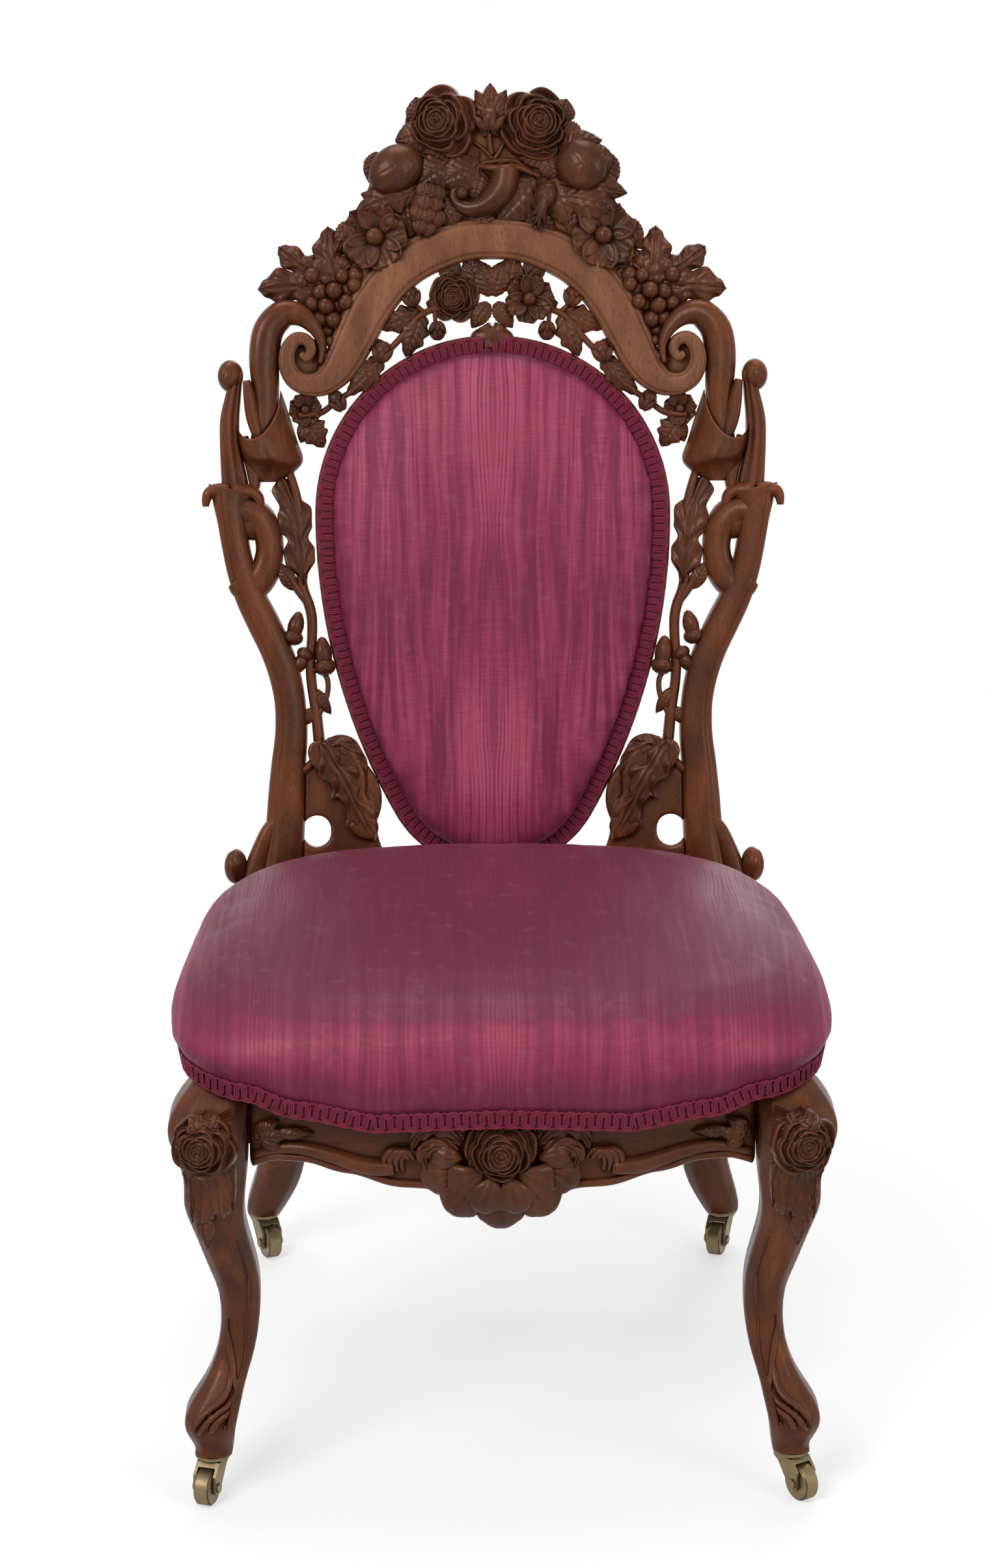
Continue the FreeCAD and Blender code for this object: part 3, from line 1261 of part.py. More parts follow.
# Carved back
def leaf(base, tip, half_width):
    """A pointed leaf on the drawing."""
    start = Vector(base[0] * half_step, base[1] * rise_step, 0)
    end = Vector(tip[0] * half_step, tip[1] * rise_step, 0)
    across = (end - start).cross(Vector(0, 0, 1)).normalize() * half_width * half_step
    middle = start + (end - start) * LEAF_BELLY_SHARE
    return Part.Face(Part.Wire([smooth_edge([start, middle + across, end]),
                                smooth_edge([end, middle - across, start])]))


def make_back():
    """The carved members and panels round the medallion."""
    medallion_frame, medallion_space = make_medallion()
    depth, centre_w = size("band_depth"), size("band_centre_w")
    thin = size("panel_depth")
    low_w = centre_w - thin / 2
    high_w = centre_w + thin / 2
    whole_hoop = [(-a, b, c) for a, b, c in hoop_shares[:0:-1]] + hoop_shares
    hoop = member(whole_hoop, depth, centre_w)
    add_shape("back_hoop", hoop, back_placement)

    cup = raised(drawn_face(cup_shares), centre_w - depth * CUP_BACK_SHARE,
                 centre_w + depth * CUP_FRONT_SHARE)
    ring = drawn_face(ring_shares).cut(drawn_face(ring_hole_shares)).Faces[0]
    stile = member(stile_shares, depth, centre_w).common(above_line_on_back)
    strand = member(strand_shares, depth * SLIM_SHARE, centre_w).common(above_line_on_back)
    stile = stile.fuse([raised(ring, low_w, high_w), strand,
                        bulb(lower_knob_share, depth, centre_w)])
    add_pair("stile", one_solid(stile), back_placement)
    shoulder = cup.fuse([member(neck_shares, depth * SLIM_SHARE, centre_w),
                         bulb(knob_share, depth, centre_w)])
    shoulder = one_solid(shoulder.cut([stile, hoop]))
    add_pair("shoulder", shoulder, back_placement)
    post = one_solid(member(post_shares, depth, centre_w).cut([shoulder, hoop]))
    add_pair("scroll_post", post, back_placement)

    plate = drawn_face(bracket_shares).cut(drawn_face(bracket_hole_shares)).Faces[0]
    step = thin * BRACKET_STEP_SHARE
    bracket = raised(plate, low_w, high_w - step)
    bracket = bracket.fuse(raised(drawn_face(low_leaf_shares), centre_w, high_w + step))
    bracket = bracket.common(above_line_on_back)
    bracket = one_solid(bracket.cut([stile, medallion_frame, medallion_space]))
    add_pair("lower_bracket", bracket, back_placement)

    branch = member(branch_shares, thin * SLIM_SHARE, centre_w)
    pieces = [raised(drawn_face(high_leaf_shares), low_w + thin * LEAF_BACK_SHARE, high_w),
              member(twig_shares, thin * TWIG_SHARE, centre_w)]
    pieces += [bulb(share, thin, centre_w) for share in acorn_shares]
    branch = branch.fuse(pieces).cut([shoulder, bracket, stile, medallion_space])
    add_pair("oak_branch", one_solid(branch), back_placement)

    leaf_low, leaf_high = low_w + thin * LEAF_BACK_SHARE, high_w - thin * LEAF_FRONT_SHARE
    bouquet = raised(drawn_face(bouquet_shares), low_w, leaf_high)
    bloom_w = high_w - thin * BLOOM_SEAT_SHARE
    across, up, radius = garland_rose_share
    rose = rosette(radius * half_step, thin * SLIM_SHARE)
    pieces = [set_on_back(rose, across, up, bloom_w)]
    across, up, radius = garland_flower_share
    bloom = flower(radius * half_step, thin * SLIM_SHARE)
    pieces.append(set_on_back(bloom, across, up, bloom_w))
    across, up, radius = low_flower_share
    bloom = flower(radius * half_step, thin * SLIM_SHARE)
    sprays = [set_on_back(bloom, across, up, leaf_low)]
    sprays += [member(stem, thin * STEM_SHARE, centre_w) for stem in garland_stem_shares]
    sprays += [raised(leaf(base, tip, half_width), leaf_low, leaf_high)
               for base, tip, half_width in garland_leaf_shares]
    sprays += [bulb(share, thin * SLIM_SHARE, centre_w) for share in garland_bud_shares]
    spray = sprays[0].fuse(sprays[1:]).cut(shoulder)
    garland = bouquet.fuse(pieces + both_sides([spray]))
    garland = garland.cut([hoop, medallion_space])
    add_shape("inner_garland", one_solid(garland), back_placement)

    board_w = size("crest_board_depth")
    board = raised(drawn_face(crest_shares), 0, board_w).cut(hoop)
    board = max(board.Solids, key=lambda solid: solid.CenterOfMass.y)
    add_shape("crest_board", board, back_placement)
    relief = size("crest_relief")
    fruit_w = board_w + relief * FRUIT_LIFT_SHARE
    seat_w = board_w - size("carving_sink")
    pieces = []
    for across, up, radius in crest_rose_shares:
        pieces.append(set_on_back(rosette(radius * half_step, relief), across, up, seat_w))
    for across, up, radius in crest_flower_shares:
        bloom = flower(radius * half_step, relief * CREST_FLOWER_SHARE)
        pieces.append(set_on_back(bloom, across, up, seat_w))
    for share in crest_bulb_shares:
        pieces.append(bulb(share, relief, fruit_w))
    pieces.append(member(horn_of_plenty_shares, relief, fruit_w))
    for base, tip, half_width in crest_leaf_shares:
        pieces.append(raised(leaf(base, tip, half_width), seat_w,
                             board_w + relief * CREST_LEAF_SHARE))
    carving = pieces[0].fuse(pieces[1:]).cut([hoop, board])
    add_shape("crest_carving", Part.makeCompound(carving.Solids), back_placement)

    vine = raised(drawn_face(vine_leaf_shares), low_w, centre_w)
    grapes = []
    for number, (across, up) in enumerate(grape_shares):
        lift = thin * GRAPE_LIFT_SHARES[number % len(GRAPE_LIFT_SHARES)]
        spot = bent(across * half_step, up * rise_step, high_w - lift)
        grapes.append(gem(spot, Vector(0, 0, 1), GRAPE_HALF_SHARE * half_step, number))
    vine = vine.fuse(grapes).cut([hoop, post, board])
    add_pair("grapes", one_solid(vine), back_placement)


make_frame()
make_seat()
make_back()
doc.recompute()
for item in doc.Objects:
    if "Invalid" in item.State or "Error" in item.State:
        raise RuntimeError("%s: %s" % (item.Label, item.State))
for label, item in subparts.items():
    if item.Shape.isNull() or not item.Shape.isValid():
        raise RuntimeError("%s has no valid shape" % label)
os.makedirs("parts", exist_ok=True)
for label, item in subparts.items():
    item.Shape.exportStep(os.path.join("parts", label + ".step"))
print(len(subparts), "sub-parts written")
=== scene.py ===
"""The looks of a carved rosewood slipper chair in crimson watered silk.

The carving is drawn flat, in millimetres, on the carver's squared drawing: u across, v up
and w out of the wood. It is then bent and leaned like the back that carries it.
"""

import math
from bisect import bisect_right

import bmesh
import bpy
from mathutils import Matrix, Vector, noise
from mathutils.bvhtree import BVHTree


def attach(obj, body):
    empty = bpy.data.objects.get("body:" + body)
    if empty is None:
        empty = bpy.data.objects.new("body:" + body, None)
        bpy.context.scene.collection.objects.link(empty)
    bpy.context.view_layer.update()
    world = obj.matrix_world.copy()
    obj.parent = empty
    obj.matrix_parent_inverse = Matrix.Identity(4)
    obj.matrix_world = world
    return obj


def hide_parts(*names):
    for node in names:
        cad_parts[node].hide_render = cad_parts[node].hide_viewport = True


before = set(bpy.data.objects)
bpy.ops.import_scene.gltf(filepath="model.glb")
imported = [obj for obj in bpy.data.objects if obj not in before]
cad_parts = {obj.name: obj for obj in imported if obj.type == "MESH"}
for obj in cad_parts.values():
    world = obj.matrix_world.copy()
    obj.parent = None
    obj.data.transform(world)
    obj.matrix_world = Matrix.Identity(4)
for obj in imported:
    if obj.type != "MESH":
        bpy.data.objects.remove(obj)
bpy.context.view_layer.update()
MM = 0.001
MERGE_REACH = 0.00001

# The back, as the frame carries it
BACK_BASE_Y = 158.0
BACK_BASE_Z = 330.0
BACK_RAKE = math.radians(12.0)
BACK_BEND = 800.0
BOARD_FACE = 13.0
PANEL_FACE = 16.0
BAND_FACE = 22.0

# The oval and its four arcs
EGG_TOP, EGG_SIDE, EGG_TIP = 156.0, 546.0, 100.0
EGG_CENTRE_V = 376.0
EGG_FACE = 10.0
GIMP_WIDTH = 14.0
GIMP_INSET = 3.0
PAD_CROWN = 27.0

# The seat's outline and its show line
SEAT_HALF_FRONT, SEAT_HALF_REAR = 252.0, 218.0
SEAT_FRONT_Y, SEAT_REAR_Y = -292.0, 136.0
SEAT_BOW, SEAT_REAR_SAG = 14.0, 24.4
SEAT_RISE = 110.0
SEAT_OVERHANG = 17.0
SHOW_LINE_Z, SHOW_LINE_SWELL = 334.0, 28.0
RAIL_BOTTOM_Z, APRON_DROP = 292.0, 20.0
KNEE_INNER_X = 200.0


# Node helpers
def fill(tree, made, inputs):
    """Links the inputs that are given sockets and sets the others."""
    for name, value in inputs.items():
        if isinstance(value, bpy.types.NodeSocket):
            tree.links.new(value, made.inputs[name])
        else:
            made.inputs[name].default_value = value


def node(tree, kind, inputs, **settings):
    made = tree.nodes.new(kind)
    for name, value in settings.items():
        setattr(made, name, value)
    fill(tree, made, inputs)
    return made


def maths(tree, operation, first, second=0.0, third=0.0, clamp=False):
    return node(tree, "ShaderNodeMath", {0: first, 1: second, 2: third},
                operation=operation, use_clamp=clamp).outputs[0]


def times(tree, first, second):
    return maths(tree, "MULTIPLY", first, second)


def fused(tree, first, second, third, clamp=False):
    """First times second, plus third."""
    return maths(tree, "MULTIPLY_ADD", first, second, third, clamp)


def scaled(colour, share):
    return tuple(channel * share for channel in colour)


def mixed(tree, amount, first, second):
    """Two colours mixed by an amount. A plain colour is given as (r, g, b)."""
    ends = [end if isinstance(end, bpy.types.NodeSocket) else (*end, 1.0)
            for end in (first, second)]
    return node(tree, "ShaderNodeMix", {0: amount, 6: ends[0], 7: ends[1]},
                data_type="RGBA").outputs[2]


def spread(tree, value, low, high, to_low=0.0, to_high=1.0, smooth=False):
    return node(tree, "ShaderNodeMapRange", {0: value, 1: low, 2: high, 3: to_low, 4: to_high},
                interpolation_type="SMOOTHSTEP" if smooth else "LINEAR").outputs[0]


def ramp(tree, value, stops):
    made = node(tree, "ShaderNodeValToRGB", {"Fac": value})
    elements = made.color_ramp.elements
    while len(elements) < len(stops):
        elements.new(1.0)
    for element, (place, colour) in zip(elements, stops):
        element.position = place
        element.color = (*colour, 1.0)
    return made.outputs["Color"]


def stretched(tree, vector, scale, turn=(0.0, 0.0, 0.0)):
    return node(tree, "ShaderNodeMapping",
                {"Vector": vector, "Scale": scale, "Rotation": turn}).outputs["Vector"]


def noise_of(tree, vector, scale, detail=2.0, rough=0.5, twist=0.0):
    return node(tree, "ShaderNodeTexNoise",
                {"Vector": vector, "Scale": scale, "Detail": detail, "Roughness": rough,
                 "Distortion": twist}).outputs["Fac"]


def parts_of(tree, vector):
    return node(tree, "ShaderNodeSeparateXYZ", {0: vector}).outputs


def new_group(name, sockets_in, sockets_out):
    """A node group with named float and vector sockets."""
    group = bpy.data.node_groups.new(name, "ShaderNodeTree")
    for sockets, way in ((sockets_in, "INPUT"), (sockets_out, "OUTPUT")):
        for socket in sockets:
            kind = "NodeSocketVector" if socket == "Vector" else "NodeSocketFloat"
            group.interface.new_socket(socket, in_out=way, socket_type=kind)
    return group, group.nodes.new("NodeGroupInput").outputs, group.nodes.new("NodeGroupOutput")


def use_group(tree, group, inputs):
    return node(tree, "ShaderNodeGroup", inputs, node_tree=group).outputs


def new_material(name):
    material = bpy.data.materials.new(name)
    material.use_nodes = True
    tree = material.node_tree
    place = tree.nodes.new("ShaderNodeTexCoord").outputs["Object"]
    return material, tree, tree.nodes["Principled BSDF"], place


def bumped(tree, height, strength, distance):
    return node(tree, "ShaderNodeBump", {"Height": height, "Strength": strength,
                                         "Distance": distance}).outputs["Normal"]


def painted_hollow_shade(tree, reach, open_share, deepest):
    """Painted shade: how dark a hollow is painted, from how much of the surface is shut in within
    reach.
    """
    shut = node(tree, "ShaderNodeAmbientOcclusion", {"Distance": reach}, samples=6)
    return spread(tree, shut.outputs["AO"], open_share, 0.3, 0.0, deepest, smooth=True)


# Shared effects
def make_grain_group():
    """Streaks and pores along the grain, which runs along Z of the vector given."""
    tree, given, put = new_group("wood_grain", ["Vector", "Scale"],
                                 ["Streak", "Figure", "Pores"])
    sized = node(tree, "ShaderNodeVectorMath", {0: given["Vector"], 1: given["Scale"]},
                 operation="MULTIPLY").outputs[0]
    slow = stretched(tree, sized, (1.0, 1.0, 0.12))
    streak = noise_of(tree, slow, 42.0, 6.0, 0.62, 0.6)
    figure = noise_of(tree, slow, 9.0, 3.0, 0.5, 1.4)
    rings = maths(tree, "SINE", fused(tree, figure, 26.0, streak))
    pores = noise_of(tree, stretched(tree, sized, (1.0, 1.0, 0.045)), 900.0)
    fill(tree, put, {"Streak": streak, "Figure": spread(tree, rings, -1.0, 1.0),
                     "Pores": spread(tree, pores, 0.56, 0.68, smooth=True)})
    return tree


def make_wear_and_light_group():
    """Ridges lightened as rubbed wear and as painted highlight, and hollows darkened as painted
    shade, from how sharp the surface is.
    """
    tree, given, put = new_group("rubbed_edges_and_painted_light", ["Vector", "Reach"], ["RubbedAndLitRidge", "PaintedHollowShade"])
    point = tree.nodes.new("ShaderNodeNewGeometry").outputs["Pointiness"]
    patch = noise_of(tree, given["Vector"], 60.0, 4.0, 0.6)
    lift = fused(tree, maths(tree, "SUBTRACT", patch, 0.5), 0.03, point)
    high = maths(tree, "ADD", given["Reach"], 0.515)
    fill(tree, put, {"RubbedAndLitRidge": spread(tree, lift, 0.512, high, smooth=True),
                     "PaintedHollowShade": spread(tree, lift, 0.49, 0.42, smooth=True)})
    return tree


def make_patina_group():
    """Uneven handling, dust and tarnish in slow patches and fine specks."""
    tree, given, put = new_group("patina", ["Vector", "Scale"], ["Patch", "Speck"])
    patch = noise_of(tree, given["Vector"], given["Scale"], 5.0, 0.6, 0.3)
    speck = noise_of(tree, given["Vector"], times(tree, given["Scale"], 14.0))
    fill(tree, put, {"Patch": spread(tree, patch, 0.3, 0.7, smooth=True),
                     "Speck": spread(tree, speck, 0.6, 0.75, smooth=True)})
    return tree


def make_watering_group():
    """The watered lines of moire: ribs pressed into long mirrored arches."""
    tree, given, put = new_group("watered_lines", ["Across", "Along"],
                                 ["Lines", "Sheen", "Rib"])

    def seat(across):
        return node(tree, "ShaderNodeCombineXYZ", {0: across, 2: given["Along"]}).outputs[0]
    fold = maths(tree, "PINGPONG", given["Across"], 0.094)
    sway = noise_of(tree, stretched(tree, seat(fold), (9.0, 9.0, 5.0)), 1.0, rough=0.45)
    drift = fused(tree, sway, 0.026, fold)
    moved = seat(drift)
    broad = noise_of(tree, stretched(tree, moved, (26.0, 4.0, 2.6)), 1.0)
    lines = noise_of(tree, stretched(tree, moved, (150.0, 20.0, 7.0)), 1.0, rough=0.6)
    jag = noise_of(tree, stretched(tree, seat(fold), (60.0, 20.0, 900.0)), 1.0)
    rings = maths(tree, "SINE", times(tree, fused(tree, jag, 0.0016, drift), 1900.0))
    figure = times(tree, spread(tree, rings, -1.0, 1.0),
                   spread(tree, broad, 0.46, 0.6, smooth=True))
    watering = fused(tree, jag, 0.3, fused(tree, figure, 0.3, lines))
    fill(tree, put, {"Lines": spread(tree, watering, 0.45, 0.95, smooth=True),
                     "Sheen": spread(tree, broad, 0.34, 0.66, smooth=True),
                     "Rib": maths(tree, "SINE", times(tree, given["Along"], 9000.0))})
    return tree


grain = make_grain_group()
wear_and_light = make_wear_and_light_group()
patina = make_patina_group()
watering = make_watering_group()


# Finishes
def rosewood(name, grain_turn, tones, gloss=0.28, grain_scale=1.0):
    """Polished rosewood with its grain turned to run along the piece."""
    dark, middle, light = tones
    material, tree, shader, place = new_material(name)
    turned = stretched(tree, place, (1.0, 1.0, 1.0), grain_turn)
    wood = use_group(tree, grain, {"Vector": turned, "Scale": grain_scale})
    worn_and_lit = use_group(tree, wear_and_light, {"Vector": place, "Reach": 0.05})
    aged = use_group(tree, patina, {"Vector": place, "Scale": 16.0})
    colour = ramp(tree, wood["Streak"], [(0.3, dark), (0.52, middle), (0.74, light)])
    # Grain figure, handling patches and pores; ridges lightened as rubbed wear and as painted
    # highlight
    for mask, share, over in ((wood["Figure"], 0.5, dark), (aged["Patch"], 0.3, light),
                              (wood["Pores"], 0.45, scaled(dark, 0.35)),
                              (worn_and_lit["RubbedAndLitRidge"], 0.6, scaled(middle, 1.9))):
        colour = mixed(tree, times(tree, mask, share), colour, over)
    # Painted shade: hollows darken towards a very dark brown, from ambient occlusion and from the
    # surface's sharpness
    shade = maths(tree, "MAXIMUM", painted_hollow_shade(tree, 0.008, 0.95, 0.72),
                  times(tree, worn_and_lit["PaintedHollowShade"], 0.6))
    rough = fused(tree, aged["Patch"], 0.14, gloss)
    rough = fused(tree, shade, 0.25, rough)
    height = fused(tree, wood["Pores"], -0.5, wood["Streak"])
    height = fused(tree, noise_of(tree, place, 240.0), 0.8, height)
    fill(tree, shader, {
        "Base Color": mixed(tree, shade, colour, scaled(dark, 0.2)),
        "Roughness": fused(tree, wood["Pores"], 0.1, rough),
        "Specular IOR Level": 0.3, "Specular Tint": (1.0, 0.66, 0.5, 1.0),
        "Coat Weight": 0.05, "Coat Roughness": 0.12,
        "Normal": bumped(tree, height, 0.35, 0.0004)})
    return material


def silk(name, runs_back, contrast):
    """Crimson watered silk. The lines run down the cloth; painted shade darkens it where the cloth
    faces down or sideways and where it faces up.
    """
    material, tree, shader, place = new_material(name)
    split = parts_of(tree, place)
    along = fused(tree, split[1], -1.0, split[2]) if runs_back else split[2]
    lines = use_group(tree, watering, {"Across": maths(tree, "ABSOLUTE", split[0]),
                                       "Along": along})
    aged = use_group(tree, patina, {"Vector": place, "Scale": 5.0})
    tone = fused(tree, lines["Sheen"], 0.06, 0.4 * (0.72 - contrast))
    tone = fused(tree, lines["Lines"], contrast, tone)
    colour = ramp(tree, tone, [(0.05, (0.155, 0.015, 0.041)), (0.38, (0.272, 0.034, 0.077)),
                               (0.9, (0.43, 0.078, 0.147))])
    upward = parts_of(tree, tree.nodes.new("ShaderNodeNewGeometry").outputs["Normal"])[2]
    for mask, over in (
            (times(tree, aged["Patch"], 0.2), (0.2, 0.03, 0.065)),
            # Painted shade: darker where the cloth faces down or sideways
            (spread(tree, upward, -0.3, 0.16, 0.5, 0.0, smooth=True), (0.105, 0.01, 0.027)),
            # Painted shade: darker where the cloth faces up
            (spread(tree, upward, 0.5, 0.94, 0.0, 0.72, smooth=True), (0.075, 0.01, 0.023)),
            (times(tree, aged["Speck"], 0.06), (0.5, 0.25, 0.3))):
        colour = mixed(tree, mask, colour, over)
    fill(tree, shader, {
        "Base Color": colour, "Roughness": fused(tree, lines["Lines"], -0.14, 0.56),
        "Sheen Weight": 0.05, "Sheen Roughness": 0.4, "Sheen Tint": (0.9, 0.35, 0.5, 1.0),
        "Specular IOR Level": 0.22,
        "Normal": bumped(tree, fused(tree, lines["Rib"], 0.35, lines["Lines"]), 0.3, 0.00012)})
    return material


def braid(name, plain, bright):
    """Dull twisted thread."""
    material, tree, shader, place = new_material(name)
    twist = noise_of(tree, place, 1400.0, 2.0, 0.6)
    worn_and_lit = use_group(tree, wear_and_light, {"Vector": place, "Reach": 0.06})
    aged = use_group(tree, patina, {"Vector": place, "Scale": 30.0})
    colour = mixed(tree, twist, plain, bright)
    colour = mixed(tree, times(tree, worn_and_lit["RubbedAndLitRidge"], 0.4), colour, bright)
    colour = mixed(tree, times(tree, aged["Patch"], 0.2), colour, (0.16, 0.03, 0.05))
    # Painted shade: the thread darkens in its hollows
    shade = painted_hollow_shade(tree, 0.003, 0.9, 0.85)
    fill(tree, shader, {
        "Base Color": mixed(tree, shade, colour, (0.03, 0.004, 0.01)),
        "Roughness": fused(tree, twist, 0.12, 0.72), "Specular IOR Level": 0.2,
        "Sheen Weight": 0.08, "Normal": bumped(tree, twist, 0.5, 0.0002)})
    return material


def metal(name, plain, tarnished, bright):
    """Cast metal, with painted shade in its hollows and bright where it rubs."""
    material, tree, shader, place = new_material(name)
    worn_and_lit = use_group(tree, wear_and_light, {"Vector": place, "Reach": 0.05})
    aged = use_group(tree, patina, {"Vector": place, "Scale": 70.0})
    colour = mixed(tree, aged["Patch"], plain, tarnished)
    colour = mixed(tree, times(tree, aged["Speck"], 0.5), colour, tarnished)
    colour = mixed(tree, times(tree, worn_and_lit["RubbedAndLitRidge"], 0.7), colour, bright)
    # Painted shade: hollows darken towards a deep tarnish colour and are made less metallic
    shade = painted_hollow_shade(tree, 0.008, 0.9, 0.8)
    fill(tree, shader, {
        "Base Color": mixed(tree, shade, colour, scaled(tarnished, 0.25)),
        "Metallic": fused(tree, shade, -0.6, 1.0, clamp=True),
        "Roughness": fused(tree, aged["Speck"], 0.15, fused(tree, aged["Patch"], 0.2, 0.34)),
        "Normal": bumped(tree, noise_of(tree, place, 700.0, 3.0, 0.6), 0.25, 0.0003)})
    return material


def plain_cloth(name, plain, bright, threads):
    """Open plain weave for webbing and the cloth under the seat."""
    material, tree, shader, place = new_material(name)
    warp, weft = (maths(tree, "SINE", times(tree, way, threads))
                  for way in parts_of(tree, place)[:2])
    weave = spread(tree, times(tree, warp, weft), -1.0, 1.0)
    aged = use_group(tree, patina, {"Vector": place, "Scale": 12.0})
    colour = mixed(tree, weave, plain, bright)
    fill(tree, shader, {
        "Base Color": mixed(tree, times(tree, aged["Patch"], 0.3), colour, (0.2, 0.17, 0.14)),
        "Roughness": fused(tree, weave, 0.1, 0.82),
        "Normal": bumped(tree, weave, 0.4, 0.0003)})
    return material


UPRIGHT, LYING, BACKWARD = (0.0, 0.0, 0.0), (0.0, math.pi / 2, 0.0), (math.pi / 2, 0.0, 0.0)
# Dark, middle and light tones
POLISHED = (0.021, 0.005, 0.0022), (0.085, 0.0205, 0.0068), (0.195, 0.054, 0.016)
CARVED = (0.016, 0.0042, 0.0022), (0.064, 0.0165, 0.0068), (0.155, 0.043, 0.016)
MOULDED = (0.08, 0.026, 0.012), (0.168, 0.063, 0.029), (0.3, 0.125, 0.062)
UNSTAINED = (0.1, 0.028, 0.008), (0.22, 0.072, 0.02), (0.36, 0.135, 0.042)
SECONDARY = (0.25, 0.15, 0.07), (0.36, 0.23, 0.12), (0.46, 0.31, 0.17)
upright_wood = rosewood("rosewood_upright", UPRIGHT, POLISHED)
lying_wood = rosewood("rosewood_lying", LYING, POLISHED)
deep_wood = rosewood("rosewood_side_rails", BACKWARD, POLISHED)
carved_wood = rosewood("rosewood_carved", UPRIGHT, CARVED, gloss=0.25)
band_wood = rosewood("rosewood_band", UPRIGHT, MOULDED, gloss=0.36, grain_scale=0.8)
board_wood = rosewood("rosewood_board", UPRIGHT, UNSTAINED, gloss=0.4)
block_wood = rosewood("secondary_wood", LYING, SECONDARY, gloss=0.6)
seat_silk = silk("watered_silk_seat", True, 0.46)
pad_silk = silk("watered_silk_pad", False, 0.66)
gimp_thread = braid("gimp_thread", (0.11, 0.006, 0.02), (0.27, 0.022, 0.06))
caster_brass = metal("caster_brass", (0.095, 0.066, 0.032), (0.03, 0.021, 0.01),
                     (0.3, 0.225, 0.12))
dull_iron = metal("dull_iron", (0.2, 0.19, 0.18), (0.07, 0.055, 0.045), (0.4, 0.39, 0.38))
dust_cloth = plain_cloth("dust_cloth", (0.012, 0.011, 0.011), (0.035, 0.033, 0.031), 3600.0)
webbing_cloth = plain_cloth("jute_webbing", (0.2, 0.13, 0.07), (0.42, 0.31, 0.18), 2400.0)


# Mesh helpers
def in_scene(piece, replaces=()):
    """Rides a piece on the chair's body, in place of the frame nodes it replaces."""
    bpy.context.scene.collection.objects.link(piece)
    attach(piece, "chair")
    if replaces:
        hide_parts(*replaces)


def finish_piece(name, bm, material, replaces=()):
    """Turns a finished bmesh in millimetres into a smooth piece of the chair."""
    bmesh.ops.remove_doubles(bm, verts=bm.verts, dist=MERGE_REACH / MM)
    bmesh.ops.recalc_face_normals(bm, faces=bm.faces)
    bmesh.ops.scale(bm, vec=(MM, MM, MM), verts=bm.verts)
    for face in bm.faces:
        face.smooth = True
    mesh = bpy.data.meshes.new(name)
    bm.to_mesh(mesh)
    bm.free()
    mesh.materials.append(material)
    piece = bpy.data.objects.new(name, mesh)
    in_scene(piece, replaces)
    return piece


def carved(name, bm, replaces=(), material=carved_wood):
    finish_piece(name, bm, material, replaces)


def hand(side):
    return "left" if side < 0 else "right"


def carved_side(side, name, bm, node_name, material=upright_wood):
    """A carving of the back drawn on the left, mirrored for the right."""
    if side > 0:
        mirror(bm)
    lay_on_back(bm)
    carved(f"{hand(side)}_{name}", bm, (f"{hand(side)}_{node_name}",), material)


def mirror(bm):
    bmesh.ops.scale(bm, vec=(-1.0, 1.0, 1.0), verts=bm.verts)


def sagitta(u):
    return BACK_BEND - math.sqrt(BACK_BEND ** 2 - u ** 2)


def back_point(u, v, w):
    """A point of the drawing on the bent, leaning back."""
    out = w + sagitta(u)
    return Vector((u, BACK_BASE_Y + v * math.sin(BACK_RAKE) - out * math.cos(BACK_RAKE),
                   BACK_BASE_Z + v * math.cos(BACK_RAKE) + out * math.sin(BACK_RAKE)))


def lay_on_back(bm):
    for vert in bm.verts:
        vert.co = back_point(*vert.co)


def seat_matrix(place, turn=0.0, facing=(0.0, 0.0, 1.0)):
    """Puts a form made on z = 0 at a place, facing out, turned about its own axis."""
    direction = Vector(facing).normalized()
    swing = Vector((0, 0, 1)).rotation_difference(direction).to_matrix().to_4x4()
    spin = Matrix.Rotation(math.radians(turn), 4, "Z")
    return Matrix.Translation(Vector(place)) @ swing @ spin


def eased(value, low, high):
    """0 below low, 1 above high and a smooth rise between them."""
    share = min(1.0, max(0.0, (value - low) / (high - low)))
    return share * share * (3 - 2 * share)


def thin_patch(bm, across_steps, up_steps, place, thickness, matrix):
    """A thin closed petal or leaf: a grid whose points go where place(s, t) says."""
    made = bmesh.ops.create_grid(bm, x_segments=across_steps, y_segments=up_steps, size=1.0)
    verts = made["verts"]
    reach = max(abs(vert.co.x) for vert in verts)
    for vert in verts:
        s, t = vert.co.x / reach, (vert.co.y / reach + 1) / 2
        vert.co = place(s, t)
    faces = list({face for vert in verts for face in vert.link_faces})
    thick = bmesh.ops.solidify(bm, geom=faces, thickness=thickness)
    touched = {vert for item in thick["geom"] if isinstance(item, bmesh.types.BMFace)
               for vert in item.verts} | set(verts)
    bmesh.ops.transform(bm, matrix=matrix, verts=list(touched))


def ball(bm, place, half, segments=20, rings=12, shape=None):
    """An ellipsoid at a place or by a matrix. Its points may be moved by shape(unit point)."""
    matrix = place if isinstance(place, Matrix) else Matrix.Translation(place)
    made = bmesh.ops.create_uvsphere(bm, u_segments=segments, v_segments=rings, radius=1.0)
    for vert in made["verts"]:
        scale = shape(vert.co) if shape else 1.0
        vert.co = Vector((vert.co.x * half[0], vert.co.y * half[1],
                          vert.co.z * half[2])) * scale
    bmesh.ops.transform(bm, matrix=matrix, verts=made["verts"])


